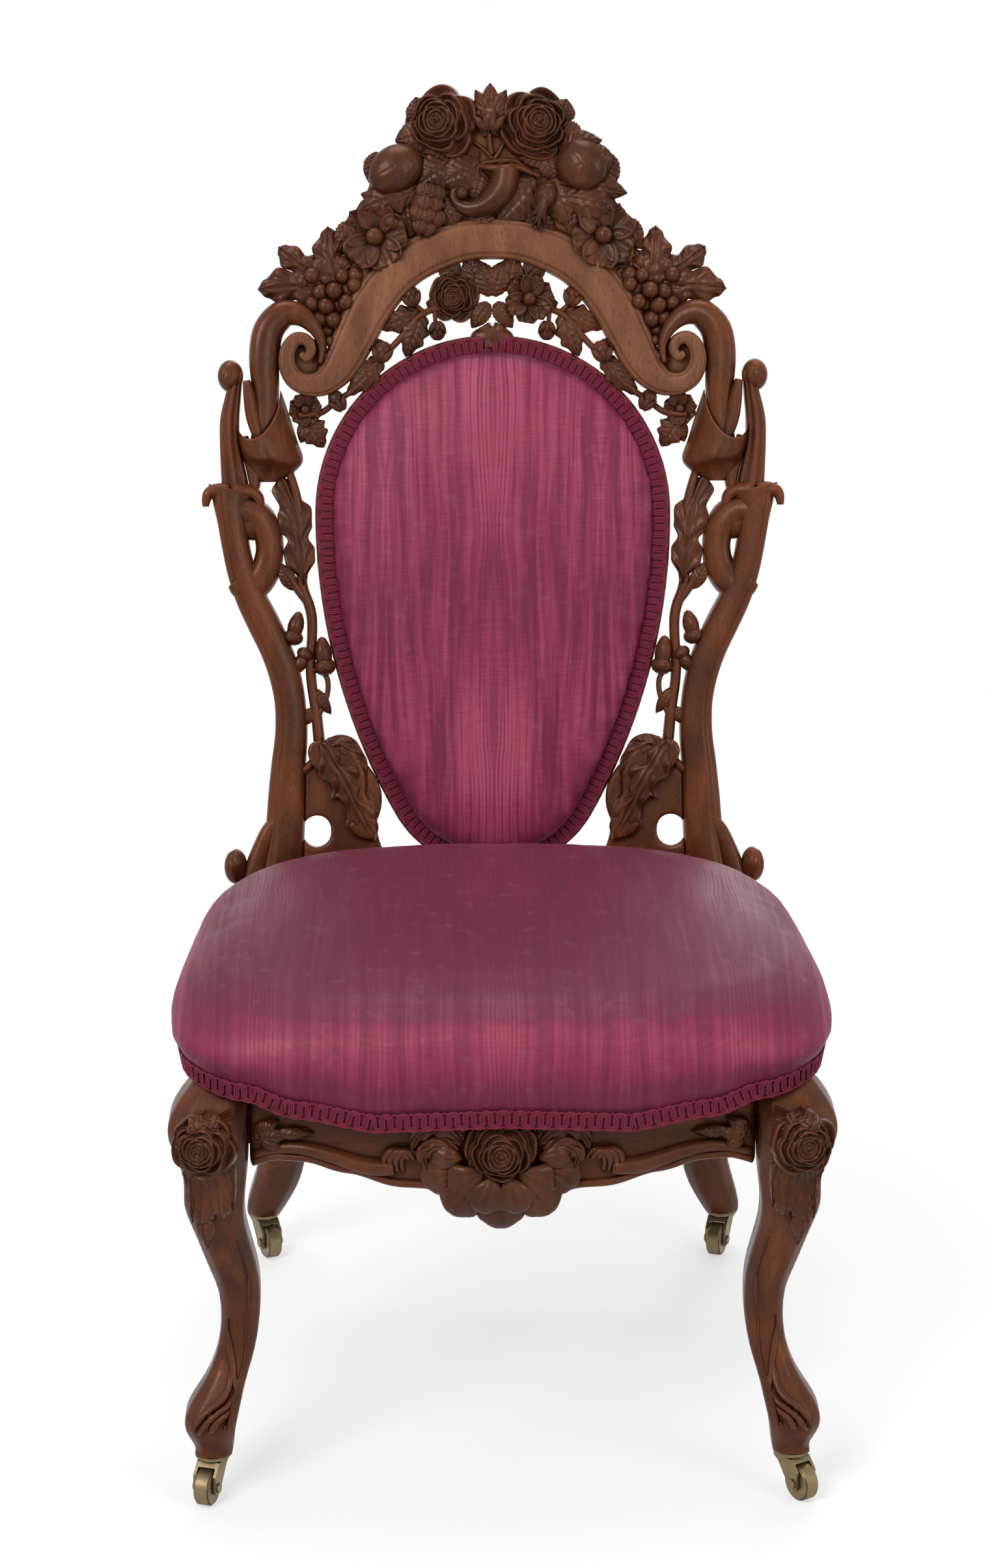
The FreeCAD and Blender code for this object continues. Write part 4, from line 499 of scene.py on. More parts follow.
def tube(bm, kind, places, radius, bevel_steps, steps, settings):
    """A round tube along a curve of one kind. settings(curve, line) says the rest."""
    curve = bpy.data.curves.new("tube", "CURVE")
    curve.dimensions = "3D"
    curve.bevel_depth = radius
    curve.bevel_resolution = bevel_steps
    curve.resolution_u = steps
    line = curve.splines.new(kind)
    line.points.add(len(places) - 1)
    for point, place in zip(line.points, places):
        point.co = (*place, 1.0)
    settings(curve, line)
    holder = bpy.data.objects.new("tube", curve)
    mesh = bpy.data.meshes.new_from_object(holder)
    bm.from_mesh(mesh)
    bpy.data.objects.remove(holder)
    bpy.data.meshes.remove(mesh)
    bpy.data.curves.remove(curve)


def sweep(bm, points, radii, sides=8):
    """A smooth round stem through points, with its own radius at each."""
    def tapered(curve, line):
        curve.use_fill_caps = True
        for point, radius in zip(line.points, radii):
            point.radius = radius
        line.order_u = 3
        line.use_endpoint_u = True
    tube(bm, "NURBS", points, 1.0, max(1, sides // 2 - 2), 5, tapered)


def looped_cord(bm, places, radius):
    """A closed cord along many points, with six sides."""
    def closed(_, line):
        line.use_cyclic_u = True
    tube(bm, "POLY", places, radius, 1, 1, closed)


def curve_through(stations, steps):
    """Stations of any numbers joined by one smooth line, all blended alike."""
    ends = [stations[0]] + list(stations) + [stations[-1]]
    made = []
    for a, b, c, d in zip(ends, ends[1:], ends[2:], ends[3:]):
        for step in range(steps):
            t = step / steps
            made.append([0.5 * (2 * q + (r - p) * t + (2 * p - 5 * q + 4 * r - s) * t * t
                                + (3 * q - p - 3 * r + s) * t ** 3)
                         for p, q, r, s in zip(a, b, c, d)])
    made.append(list(stations[-1]))
    return made


# Moulded sections: share of the width across, and how far below the face
HOOP_SECTION = [
    (0.5, 9.0), (0.47, 6.2), (0.4, 2.6), (0.375, 3.0), (0.35, 0.7), (0.3, 0.0), (0.15, -0.4),
    (0.0, -0.5), (-0.15, -0.4), (-0.29, 0.0), (-0.335, 0.8), (-0.36, 3.2), (-0.39, 2.8),
    (-0.47, 6.6), (-0.5, 9.5),
]
STILE_SECTION = [
    (0.5, 13.0), (0.47, 10.0), (0.29, 2.6), (0.265, 2.9), (0.24, 1.2), (0.1, 0.2), (-0.08, 0.0),
    (-0.25, 0.8), (-0.38, 3.0), (-0.46, 6.5), (-0.5, 11.0),
]
ROUND_SECTION = [
    (0.5, 15.0), (0.46, 9.0), (0.38, 4.6), (0.25, 1.6), (0.1, 0.2), (-0.06, 0.0), (-0.22, 1.3),
    (-0.36, 4.0), (-0.45, 8.6), (-0.5, 15.0),
]
FLUTED_SECTION = [
    (0.5, 12.0), (0.44, 7.0), (0.34, 4.8), (0.27, 6.4), (0.2, 5.4), (0.1, 1.2), (0.0, 0.2),
    (-0.1, 1.0), (-0.2, 5.0), (-0.26, 6.2), (-0.34, 4.4), (-0.44, 7.2), (-0.5, 12.0),
]
BAND_DEPTH = 24.0
BROAD_BAND = 34.0


def band(bm, stations, section, high=BAND_FACE, deep=BAND_DEPTH):
    """A moulded band along stations (u, v, width). The mouldings shrink with the width."""
    line = curve_through(stations, 5)
    rings = []
    for index, (u, v, width) in enumerate(line):
        before, after = line[max(0, index - 1)], line[min(len(line) - 1, index + 1)]
        along = Vector((after[0] - before[0], after[1] - before[1])).normalized() * width
        fine = min(1.0, max(0.3, width / BROAD_BAND))
        profile = [(share, high - drop * fine) for share, drop in section]
        rings.append([Vector((u - along.y * share, v + along.x * share, w))
                      for share, w in ((0.5, high - deep), *profile, (-0.5, high - deep))])
    ring_stack(bm, rings)


# Carved flowers, leaves and fruit
# A rose's rings of petals, from outside in: reach, how many, half span, level, lip, turn
ROSE_RINGS = [
    (1.0, 5, 46, 0.12, 0.16, 0), (0.83, 5, 47, 0.32, 0.22, 36), (0.67, 4, 60, 0.58, 0.20, 12),
    (0.54, 3, 82, 0.74, 0.17, 60), (0.42, 3, 84, 0.81, 0.15, 5), (0.30, 2, 118, 0.83, 0.14, 50),
    (0.19, 2, 122, 0.85, 0.12, 150), (0.09, 1, 175, 0.9, 0.08, 20),
]


def rose_edge(angle, girth, count, span, turn, index):
    """How far a petal reaches at an angle, and how far that angle is across it."""
    off = (angle - math.radians(turn + 360 * index / count) + math.pi) % math.tau - math.pi
    s = off / math.radians(span)
    if abs(s) >= 1:
        return 0.0, s
    return girth * (1 - 0.2 * abs(s) ** 2.6 + 0.025 * math.sin(5 * s + index * 2.1)), s


def rose_height(reach, angle):
    """The rose's height, as a share of its depth, at a share of its radius."""
    height = -0.06
    for girth, count, span, level, lip, turn in ROSE_RINGS:
        for index in range(count):
            edge, s = rose_edge(angle, girth, count, span, turn, index)
            if edge <= 0.0 or reach > edge:
                continue
            inside = (edge - reach) / max(0.25, girth)
            cup = lip * (math.exp(-(inside / 0.17) ** 2) - 0.35 * eased(inside, 0.1, 0.4))
            petal = level + cup + 0.035 * s - 0.05 * s * s
            cover = eased(edge - reach, 0.0, 0.05) * eased(1 - abs(s), 0.0, 0.1)
            height += (petal - height) * cover
    return height


ROSE_AROUND, ROSE_STEPS = 96, 38


def rose(bm, place, radius, depth, facing=(0, 0, 1), turn=0.0, guard=1.0):
    """A cabbage rose: rings of cupped petals, each over the one outside it."""
    seat = seat_matrix(place, turn, facing)
    girth, count, span, _, _, start = ROSE_RINGS[0]
    angles = [math.tau * step / ROSE_AROUND for step in range(ROSE_AROUND)]
    rims = [max(rose_edge(angle, girth, count, span, start, index)[0]
                for index in range(count)) for angle in angles]

    def spot(angle, wide, height):
        return seat @ Vector((wide * math.cos(angle), wide * math.sin(angle), height))
    rings = [[spot(angle, radius * rim * 0.9, -depth * 0.2)
              for angle, rim in zip(angles, rims)]]
    for row in range(ROSE_STEPS):
        ring = []
        for angle, rim in zip(angles, rims):
            reach = (1 - row / ROSE_STEPS) * rim
            wide = radius * reach * (1 + (guard - 1) * eased(reach, 0.6, 1.0))
            ring.append(spot(angle, wide, depth * rose_height(reach * 0.995, angle)))
        rings.append(ring)
    ring_stack(bm, rings)


def blossom(bm, place, radius, depth, petals=6, facing=(0, 0, 1), turn=0.0):
    """A single flower: cupped petals round a blunt cone."""
    seat = seat_matrix(place, turn, facing)
    for index in range(petals):
        middle = math.radians(360 * index / petals)
        raised = 0.1 * depth * (index % 2)

        def petal(s, t, middle=middle, raised=raised):
            width = 3.0 * radius / petals * math.sin(math.pi * (0.12 + 0.7 * t)) ** 0.7
            along = radius * (0.14 + 0.86 * t)
            cup = depth * (0.2 + 0.34 * t + 0.3 * s * s - 0.12 * math.cos(s * 9) * t)
            spot = Vector((along, s * width, cup + raised))
            return Matrix.Rotation(middle, 3, "Z") @ spot
        thin_patch(bm, 10, 8, petal, radius * 0.07, seat)
    made = bmesh.ops.create_cone(bm, cap_ends=True, segments=18, radius1=radius * 0.34,
                                 radius2=radius * 0.2, depth=depth * 0.9)
    bmesh.ops.transform(bm, matrix=seat @ Matrix.Translation((0, 0, depth * 0.55)),
                        verts=made["verts"])
    ball(bm, seat @ Matrix.Translation((0, 0, depth * 0.98)),
         (radius * 0.2, radius * 0.2, depth * 0.12), 14, 8)


# A leaf's edge: how deep its teeth are and how many, how deep its lobes are and how many
LEAF_FORMS = {
    "rose": (0.10, 9, 0.0, 0),
    "plain": (0.0, 0, 0.0, 0),
    "acanthus": (0.03, 9, 0.13, 3.6),
}


def veins(s, t, count):
    """The cut veins of a leaf, in millimetres: a midrib and slanting side veins."""
    side = math.cos(2 * math.pi * (count * t - 1.5 * abs(s))) * min(1.0, 4 * abs(s))
    return 0.62 * side - 1.3 * math.exp(-(s / 0.09) ** 2) + 0.9 * math.exp(
        -((abs(s) - 0.2) / 0.1) ** 2)


def lobed_leaf(bm, spine, left, right, w, lift=5.0, count=5.0, matrix=Matrix.Identity(4)):
    """A leaf on a curved spine (u, v), with half widths (place, width) on each side."""
    line = curve_through(spine, 12)
    last = len(line) - 1

    def place(s, t):
        way = t * last
        low = min(last - 1, int(way))
        here = Vector(line[low]).lerp(Vector(line[low + 1]), way - low)
        along = (Vector(line[min(last, low + 2)]) - Vector(line[max(0, low - 1)])).normalized()
        wide = eased_line(left if s < 0 else right, t)
        reach = Vector((-along.y, along.x)) * -s * wide
        rise = lift * (0.35 + 0.65 * math.sin(math.pi * min(1.0, t + 0.08)) - 0.5 * s * s)
        curl = 0.3 * lift * math.sin(2 * math.pi * count * t + 1.2) * s * s
        return Vector((here.x + reach.x, here.y + reach.y,
                       w + rise + curl + veins(s, t, count)))
    thin_patch(bm, 18, 52, place, -3.0, matrix)


def leaf(bm, base, tip, half_width, w, form="rose", lift=3.0, thickness=2.2, sway=0.0,
         matrix=None):
    """A veined leaf on the drawing, from its base to its tip."""
    teeth, tooth_count, lobe, lobe_count = LEAF_FORMS[form]
    start, end = Vector((*base, 0.0)), Vector((*tip, 0.0))
    along = end - start
    length = along.length
    across = Vector((-along.y, along.x, 0.0)).normalized()

    def place(s, t):
        body = max(0.03, math.sin(math.pi * min(1.0, 0.04 + 0.96 * t) ** 0.85)) ** 0.75
        notch = 1 - teeth * ((t * tooth_count) % 1.0) + lobe * math.sin(
            2 * math.pi * lobe_count * t - 0.6)
        wide = half_width * body * notch
        bow = sway * length * math.sin(math.pi * t)
        spot = start + along * t + across * (s * wide + bow)
        spot.z = w + lift * (0.3 + 0.7 * math.sin(math.pi * t) - 0.45 * s * s)
        spot.z += veins(s, t, 6.5) * min(1.0, half_width / 11)
        return spot
    thin_patch(bm, 14, 30, place, -thickness, matrix or Matrix.Identity(4))


def bud(bm, place, half_width, half_height, turn, depth, sepals=3):
    """A closed bud in its calyx, on the drawing."""
    seat = seat_matrix(place, -turn)

    def fold(unit):
        angle = math.atan2(unit.z, unit.x)
        return 1 - 0.07 * abs(math.sin(angle * 2 + unit.y * 1.4)) ** 6
    ball(bm, seat, (half_width, half_height, depth / 2), 20, 14, fold)
    for index in range(sepals):
        shift = (index - (sepals - 1) / 2) * half_width * 0.8
        tip = (shift * 1.3, half_height * (0.35 - 0.1 * abs(shift) / half_width))
        leaf(bm, (shift * 0.2, -half_height * 1.05), tip, half_width * 0.36,
             depth * 0.3, "plain", lift=depth * 0.24, thickness=1.2, matrix=seat)


def acorn(bm, place, half_width, half_height, turn, depth):
    """A nut with its tip and a scaly cup."""
    seat = seat_matrix(place, -turn)

    def nut(unit):
        return 1 + 0.14 * eased(unit.y, 0.8, 1.0)
    ball(bm, seat @ Matrix.Translation((0, half_height * 0.2, 0)),
         (half_width * 0.84, half_height * 0.86, depth * 0.42), 16, 12, nut)

    def scales(unit):
        angle = math.atan2(unit.z, unit.x)
        return 1 + 0.05 * math.sin(angle * 11) * math.sin(unit.y * 16)
    ball(bm, seat @ Matrix.Translation((0, -half_height * 0.5, 0)),
         (half_width * 1.06, half_height * 0.5, depth * 0.52), 28, 14, scales)


def petal_fan(bm, start, angle, length, width, w, lift, matrix):
    """A broad smooth petal with a waved edge, from its root outward."""
    half_angle = math.asin(min(0.95, width / length))

    def place(s, t):
        way = math.radians(angle) + s * half_angle
        far = length * (0.1 + 0.9 * t) * (1 - 0.26 * abs(s) ** 4 + 0.03 * math.cos(6 * s))
        spot = Vector(start) + Vector((math.cos(way), math.sin(way))) * far
        swell = math.sin(math.pi * (0.16 + 0.76 * t)) * (1 - 0.25 * s * s) - 0.2 * s * s
        groove = 1.5 * math.exp(-(s / 0.1) ** 2) + 0.7 * math.exp(-((abs(s) - 0.5) / 0.1) ** 2)
        return Vector((spot.x, spot.y, w + lift * swell - groove * eased(t, 0.05, 0.4)))
    thin_patch(bm, 16, 16, place, -3.0, matrix)


# Where a leg's drawing hangs in front of it, and where it is looked at from
DRAWING_Y, VIEW_Y = -330.0, -400.0


def wood_skin(node_name):
    """A frame node's surface in millimetres, to lay carving on."""
    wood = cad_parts[node_name]
    bm = bmesh.new()
    bm.from_mesh(wood.data)
    bmesh.ops.transform(bm, matrix=wood.matrix_world, verts=bm.verts)
    bmesh.ops.scale(bm, vec=(1 / MM, 1 / MM, 1 / MM), verts=bm.verts)
    skin = BVHTree.FromBMesh(bm)
    bm.free()
    return skin


def lay_on_skin(bm, skin):
    """Wraps a flat drawing (x, z, height) on a surface seen from the front."""
    for vert in bm.verts:
        x, z, height = vert.co
        start = Vector((x, DRAWING_Y, z))
        near = skin.find_nearest(start)[0]
        vert.co = near + (start - near).normalized() * height


def stems(bm, rows, face, side=1):
    """Stems from rows: points (u, v) or (u, v, height), radius and taper."""
    for points, radius, taper in rows:
        places = [(side * u, v, face + rise[0] if rise else PANEL_FACE * 0.72)
                  for u, v, *rise in points]
        last = len(points) - 1
        sweep(bm, places, [radius * (1 - (1 - taper) * index / last)
                           for index in range(len(points))])


def leaves(bm, rows, face, side=1, usual="rose", thickness=2.2, matrix=None):
    """Leaves from rows: root and tip (u, v), half width, height, lift and maybe a form."""
    for u0, v0, u1, v1, wide, w, lift, *form in rows:
        leaf(bm, (side * u0, v0), (side * u1, v1), wide, face + w, *(form or [usual]), lift,
             thickness, matrix=matrix)


def on_side(side, points):
    return [(side * u, *rest) for u, *rest in points]


def standing(x, y, z):
    """Stands a drawing up at a place, to be seen from the front."""
    return Matrix(((1, 0, 0, x), (0, 0, -1, y), (0, 1, 0, z), (0, 0, 0, 1)))


# The crest
CREST_LEAVES = [
    (-54, 706, -84, 700, 15, -1, 5), (-60, 716, -66, 738, 13, -2, 4),
    (56, 706, 82, 699, 15, -1, 5), (58, 718, 66, 736, 13, -2, 4), (-20, 700, -26, 676, 13, -1, 4),
    (-30, 694, -62, 690, 11, 0, 5), (-58, 694, -76, 712, 12, 0, 4), (-34, 684, -66, 660, 17, 1, 6),
    (-10, 680, -46, 662, 17, 2.5, 6), (-8, 674, -16, 646, 12, 1, 5), (38, 668, 6, 628, 20, 0, 5),
    (52, 688, 20, 690, 13, 0, 4), (54, 668, 70, 624, 17, 1, 6), (48, 690, 56, 664, 12, 0, 4),
    (60, 652, 112, 640, 14, 3, 7, "acanthus"), (72, 664, 118, 654, 12, 1, 6, "plain"),
    (98, 690, 104, 656, 12, 0, 4), (-98, 690, -104, 660, 12, 0, 4),
    (-64, 658, -118, 640, 14, 3, 7, "acanthus"), (-70, 640, -114, 654, 13, 1, 6, "plain"),
    (-44, 652, -30, 622, 12, 0, 5), (-78, 652, -70, 616, 12, 0, 5), (78, 648, 72, 612, 13, 0, 5),
    (28, 640, 56, 622, 11, 0, 4), (-20, 636, 8, 624, 9, 0, 4), (-96, 606, -82, 582, 11, -1, 5),
    (92, 605, 80, 582, 11, -1, 5), (-118, 630, -136, 604, 12, -3, 5),
    (112, 632, 131, 606, 12, -3, 5), (-112, 596, -122, 572, 9, -2, 4),
    (108, 596, 118, 572, 9, -2, 4),
]

CREST_STEMS = [
    ([(0, 688, 2), (-2, 697, 4), (-2, 708, 5)], 2.8, 0.8),
    ([(1, 684, 2), (-6, 694, 3), (-17, 700, 2)], 2.2, 0.6),
    ([(2, 684, 2), (8, 692, 3), (13, 703, 2)], 2.2, 0.6),
    ([(5, 680, 3), (18, 686, 4), (31, 674, 4), (42, 669, 5)], 2.5, 0.8),
    ([(-106, 600, -1), (-110, 588, 1), (-112, 578, 0)], 4.2, 0.9),
    ([(101, 600, -1), (106, 588, 1), (109, 577, 0)], 4.2, 0.9),
]


def crest():
    """Roses, fruit and buds round a horn of plenty."""
    bm = bmesh.new()
    face = BOARD_FACE
    leaves(bm, CREST_LEAVES, face)
    rose(bm, (-43, 715, face - 1), 31, 27, (-0.26, 0.1, 1), 20, 1.1)
    rose(bm, (38, 714, face - 1), 30, 27, (0.16, 0.1, 1), 65, 1.12)
    bud(bm, (-2, 719, face + 8), 9.5, 10.5, 0, 17, 4)
    leaf(bm, (-4, 704), (-14, 744), 10, face + 2, "plain", 6, sway=-0.12)
    leaf(bm, (2, 704), (13, 744), 10, face + 2, "plain", 6, sway=0.12)
    leaf(bm, (-1, 722), (-1, 750), 8, face + 1, "plain", 5)
    stems(bm, CREST_STEMS, face)
    plum(bm, (-84, 675, face + 7), 26, 20.5, 38, 30)
    plum(bm, (79, 679, face + 7), 24, 22, 118, 30)
    leaf(bm, (60, 688), (96, 700), 12, face + 4, "plain", 8, sway=0.1)
    leaf(bm, (96, 668), (84, 700), 11, face + 5, "plain", 8, sway=-0.1)
    cone_bud(bm, (-59, 642, face + 6), 14.5, 21, -12, 24)
    calyx_bud(bm, (47, 652, face + 7), 10, 17, 162, 20)
    ball(bm, (-86, 630, face + 4), (9.5, 8.5, 9), 18, 12)
    blossom(bm, (-101, 617, face - 1), 28, 16, 5, (-0.16, 0, 1), 12)
    blossom(bm, (96, 618, face - 1), 28, 16, 5, (0.16, 0, 1), 42)
    cornucopia(bm, face)
    lay_on_back(bm)
    carved("crest_flowers", bm, ("crest_carving",))


def plum(bm, place, half_width, half_height, turn, depth):
    """A stone fruit with its seam and a few long creases."""
    def seam(unit):
        cuts = sum(depth * math.exp(-((unit.y - 0.36 * unit.x * unit.x - level) / 0.045) ** 2)
                   for level, depth in ((0.12, 0.07), (0.36, 0.05), (-0.22, 0.05), (0.56, 0.03)))
        return 1 - cuts * (1 - 0.5 * abs(unit.x))
    ball(bm, seat_matrix(place, turn), (half_width, half_height, depth / 2), 40, 28, seam)


def cone_bud(bm, place, half_width, half_height, turn, depth):
    """A bud of overlapping scales."""
    seat = seat_matrix(place, turn)
    ball(bm, seat, (half_width * 0.9, half_height, depth * 0.44), 18, 12)
    for row in range(4):
        level = half_height * (0.75 - 0.48 * row)
        girth = math.sqrt(max(0.1, 1 - (level / half_height) ** 2))
        for index in range(-1 + row % 2, 2):
            shift = (index + 0.5 * ((row + 1) % 2)) * half_width * 0.72 * girth
            base = (shift * 0.7, level + half_height * 0.26)
            tip = (shift, level - half_height * 0.5)
            leaf(bm, base, tip, half_width * 0.52, depth * 0.3 * girth - abs(shift) * 0.2,
                 "plain", lift=depth * 0.16, thickness=1.4, matrix=seat)


def calyx_bud(bm, place, half_width, half_height, turn, depth):
    """A half-open bud whose sepals curl away."""
    seat = seat_matrix(place, turn)
    ball(bm, seat, (half_width, half_height * 0.8, depth / 2), 18, 12)
    for shift, reach in ((-0.9, 1.5), (-0.3, 1.9), (0.3, 1.8), (0.9, 1.4)):
        leaf(bm, (shift * half_width * 0.3, -half_height * 0.5),
             (shift * half_width * 0.9, half_height * reach), half_width * 0.4, depth * 0.26,
             "plain", lift=depth * 0.24, thickness=1.5, sway=shift * 0.16, matrix=seat)


def cornucopia(bm, face):
    """The horn of plenty, with its rolled mouth and curled tail."""
    sweep(bm, [(12, 677, face + 5), (12, 668, face + 6), (8, 656, face + 6),
               (-2, 646, face + 5), (-15, 641, face + 4), (-27, 643, face + 3),
               (-34, 650, face + 3), (-33, 658, face + 4), (-26, 661, face + 4),
               (-22, 656, face + 5)],
          [12.5, 12.5, 12.5, 11, 8.6, 6.6, 5, 4, 3.6, 3.2], sides=18)
    ball(bm, (-26, 655, face + 5), (6.2, 6.2, 6.5), 18, 12)
    sweep(bm, [(-14, 679, face + 4), (-3, 676, face + 11), (10, 676, face + 13),
               (24, 678, face + 10), (38, 670, face + 4)],
          [2.2, 2.8, 3.2, 3.0, 2.0], sides=10)
    sweep(bm, [(-14, 679, face + 2), (4, 683, face + 3), (22, 683, face + 3),
               (38, 671, face + 2)], [2.0, 3.0, 3.0, 2.0], sides=10)


# Grapes and vine leaves
GRAPE_SPOTS = [
    (-144, 592), (-130, 594), (-157, 583), (-144, 580), (-131, 583), (-119, 584),
    (-162, 571), (-150, 569), (-138, 570), (-126, 571), (-157, 559), (-145, 557),
    (-133, 558), (-150, 546), (-139, 545), (-122, 592), (-152, 591), (-128, 560),
    (-144, 535), (-165, 578), (-120, 575),
]
SMALL_GRAPES = [(-142, 526), (-139, 518), (-145, 512)]
VINE_LEAVES = (
    ([(-134, 578), (-141, 598), (-143, 626)],
     [(0, 8), (0.16, 20), (0.36, 25), (0.5, 13), (0.66, 15), (0.84, 7), (1, 1)],
     [(0, 6), (0.16, 14), (0.34, 18), (0.5, 9), (0.7, 12), (0.88, 6), (1, 1)]),
    ([(-146, 572), (-172, 574), (-204, 571)],
     [(0, 8), (0.16, 17), (0.34, 22), (0.5, 12), (0.7, 15), (0.86, 8), (1, 1)],
     [(0, 8), (0.16, 16), (0.34, 22), (0.5, 12), (0.68, 17), (0.86, 8), (1, 1)]),
    ([(-146, 578), (-166, 592), (-186, 608)],
     [(0, 6), (0.2, 12), (0.4, 15), (0.55, 9), (0.72, 12), (0.88, 6), (1, 1)],
     [(0, 6), (0.2, 12), (0.4, 15), (0.55, 9), (0.72, 11), (0.88, 6), (1, 1)]),
)


def grapes(side):
    """A bunch of grapes over three lobed vine leaves."""
    bm = bmesh.new()
    level = PANEL_FACE * 0.3
    for (spine, left, right), w in zip(VINE_LEAVES, (3.0, 1.5, 0.0)):
        lobed_leaf(bm, spine, left, right, level + w, 7.0, 4.5)
    leaf(bm, (-138, 598), (-110, 590), 12, level, "acanthus", 4)
    ball(bm, (-141, 569, 6), (22, 27, 8), 24, 12)
    for number, (u, v) in enumerate(GRAPE_SPOTS):
        edge = math.hypot(u + 141, v - 570)
        lift = PANEL_FACE * (0.8 + 0.2 * (number % 3)) - 0.2 * edge
        ball(bm, (u, v, lift), (7.3, 7.5, 7.3), 18, 12)
    for u, v in SMALL_GRAPES:
        ball(bm, (u, v, PANEL_FACE * 0.95), (4.4, 4.6, 4.4), 14, 9)
    carved_side(side, "grape_cluster", bm, "grapes", carved_wood)


# The garland inside the hoop
GARLAND_LEAVES = [
    (12, 570, 20, 603, 13, -4, 4), (30, 582, 46, 598, 11, -5, 4), (0, 566, 10, 596, 12, -2, 4),
    (3, 560, 18, 538, 9, -3, 4), (40, 556, 58, 560, 9, -4, 4),
    (62, 553, 98, 537, 11, -4, 5, "acanthus"), (62, 551, 76, 513, 12, -3, 5, "acanthus"),
    (97, 512, 127, 479, 11, -3, 5, "acanthus"), (92, 516, 108, 528, 7, -4, 4, "plain"),
    (164, 460, 148, 434, 12, -4, 5, "acanthus"), (160, 458, 168, 438, 8, -5, 4),
]
GARLAND_STEMS = [
    ([(44, 556), (62, 553), (78, 531), (97, 512), (113, 494), (127, 479), (138, 474)], 3.2, 0.8),
    ([(60, 552), (67, 558), (72, 564)], 2.4, 0.6), ([(50, 553), (50, 545), (49, 536)], 2.4, 0.6),
    ([(170, 462), (155, 462), (144, 467), (137, 475)], 3.2, 0.8),
]
# Buds: place (u, v), height, half width, half height, turn, depth
GARLAND_BUDS = [
    (71, 566, 0, 8.5, 9, 20, 14), (48, 535, 0, 7.5, 8.5, 180, 13),
    (96, 518, 1, 9, 9.5, -10, 14), (136, 475, 0, 7.5, 10, 30, 13),
]


def garland():
    """The rose, the blossom and the trailing stems with their leaves and buds."""
    bm = bmesh.new()
    face = PANEL_FACE - 5
    rose(bm, (-33, 565, face - 3), 20, 17, (-0.1, 0, 1), 10, 1.16)
    blossom(bm, (32, 563, face - 3), 21, 13, 6, (0.1, 0, 1), 20)
    for side in (-1, 1):
        leaves(bm, GARLAND_LEAVES, face, side)
        stems(bm, GARLAND_STEMS, face, side)
        for u, v, w, wide, high, turn, depth in GARLAND_BUDS:
            bud(bm, (side * u, v, face + w), wide, high, side * turn, depth)
        blossom(bm, (side * 163, 467, face - 4), 14, 10, 5, (side * 0.1, 0, 1), 30)
    stems(bm, [([(-8, 540, -5), (-2, 530, -5), (-3, 520, -5)], 7.0, 1.0),
               ([(8, 541, -5), (3, 530, -5), (2, 520, -5)], 6.0, 1.0)], face)
    ball(bm, (0, 530, face - 4), (19, 10, 6), 24, 12)
    lay_on_back(bm)
    carved("garland_carving", bm, ("inner_garland",))


# Oak branches down the sides
# Each leaf: its spine, then half widths (place, width) on its inner and its outer side
HIGH_LEAF = (
    [(166, 314), (168, 336), (170.5, 360), (176, 384), (186, 408)],
    [(0, 1.5), (0.1, 4), (0.24, 12), (0.34, 12.5), (0.44, 8), (0.54, 13), (0.68, 15.5),
     (0.78, 9), (0.9, 9), (1, 1.5)],
    [(0, 1.5), (0.1, 5), (0.22, 14), (0.34, 15), (0.44, 10), (0.56, 17), (0.68, 15),
     (0.78, 10.5), (0.9, 12), (1, 2)],
)
LOW_LEAF = (
    [(152, 176), (141, 160), (129, 138), (118, 115), (105, 88)],
    [(0, 3), (0.1, 12), (0.22, 15), (0.32, 18), (0.42, 12), (0.54, 12), (0.66, 9),
     (0.76, 13), (0.88, 8), (1, 1)],
    [(0, 4), (0.08, 12), (0.2, 9), (0.3, 6), (0.42, 15), (0.54, 12), (0.62, 5), (0.74, 15),
     (0.88, 9), (1, 1)],
)
OAK_STEM = [
    (178, 414, 2, 3.4), (171, 392, 1, 4.2), (168, 362, 3, 4.6), (166, 334, 4, 4.6),
    (169, 314, 4, 4.8), (159, 291, 4, 4.6), (159, 267, 4, 4.4), (161, 248, 4, 4.6),
    (160, 226, 4, 4.4), (156, 204, 4, 4.8), (154, 180, 4, 5.0), (152, 162, 4, 5.4),
]
OAK_LEAVES = [
    (174, 310, 188, 334, 7, -4, 4), (158, 222, 143, 200, 6, -5, 4), (158, 205, 170, 190, 6, -5, 4),
]


def oak_branch(side):
    """The oak stem beside the oval, with its high leaf and acorns."""
    bm = bmesh.new()
    face = PANEL_FACE - 2
    sweep(bm, [(side * u, v, face - drop) for u, v, drop, _ in OAK_STEM],
          [radius for *_, radius in OAK_STEM])
    lobed_leaf(bm, on_side(side, HIGH_LEAF[0]), *HIGH_LEAF[1:][::side], face - 5)
    leaves(bm, OAK_LEAVES, face, side, "plain")
    for u, v, drop, wide, high, turn, depth in (
            (174, 275, 2, 8.5, 14, -14, 17), (149, 250, 2, 9, 16, 6, 18),
            (168, 248, 3, 7.5, 12, 150, 15)):
        acorn(bm, (side * u, v, face - drop), wide, high, side * turn, depth)
    stems(bm, [([(160, 296, -4), (170, 306, -3), (181, 326, -2)], 4.0, 0.9),
               ([(160, 240), (150, 238), (145, 230), (146, 216), (152, 203), (157, 192)],
                2.4, 1.0)], face, side)
    lay_on_back(bm)
    carved(f"{hand(side)}_oak_spray", bm, (f"{hand(side)}_oak_branch",))


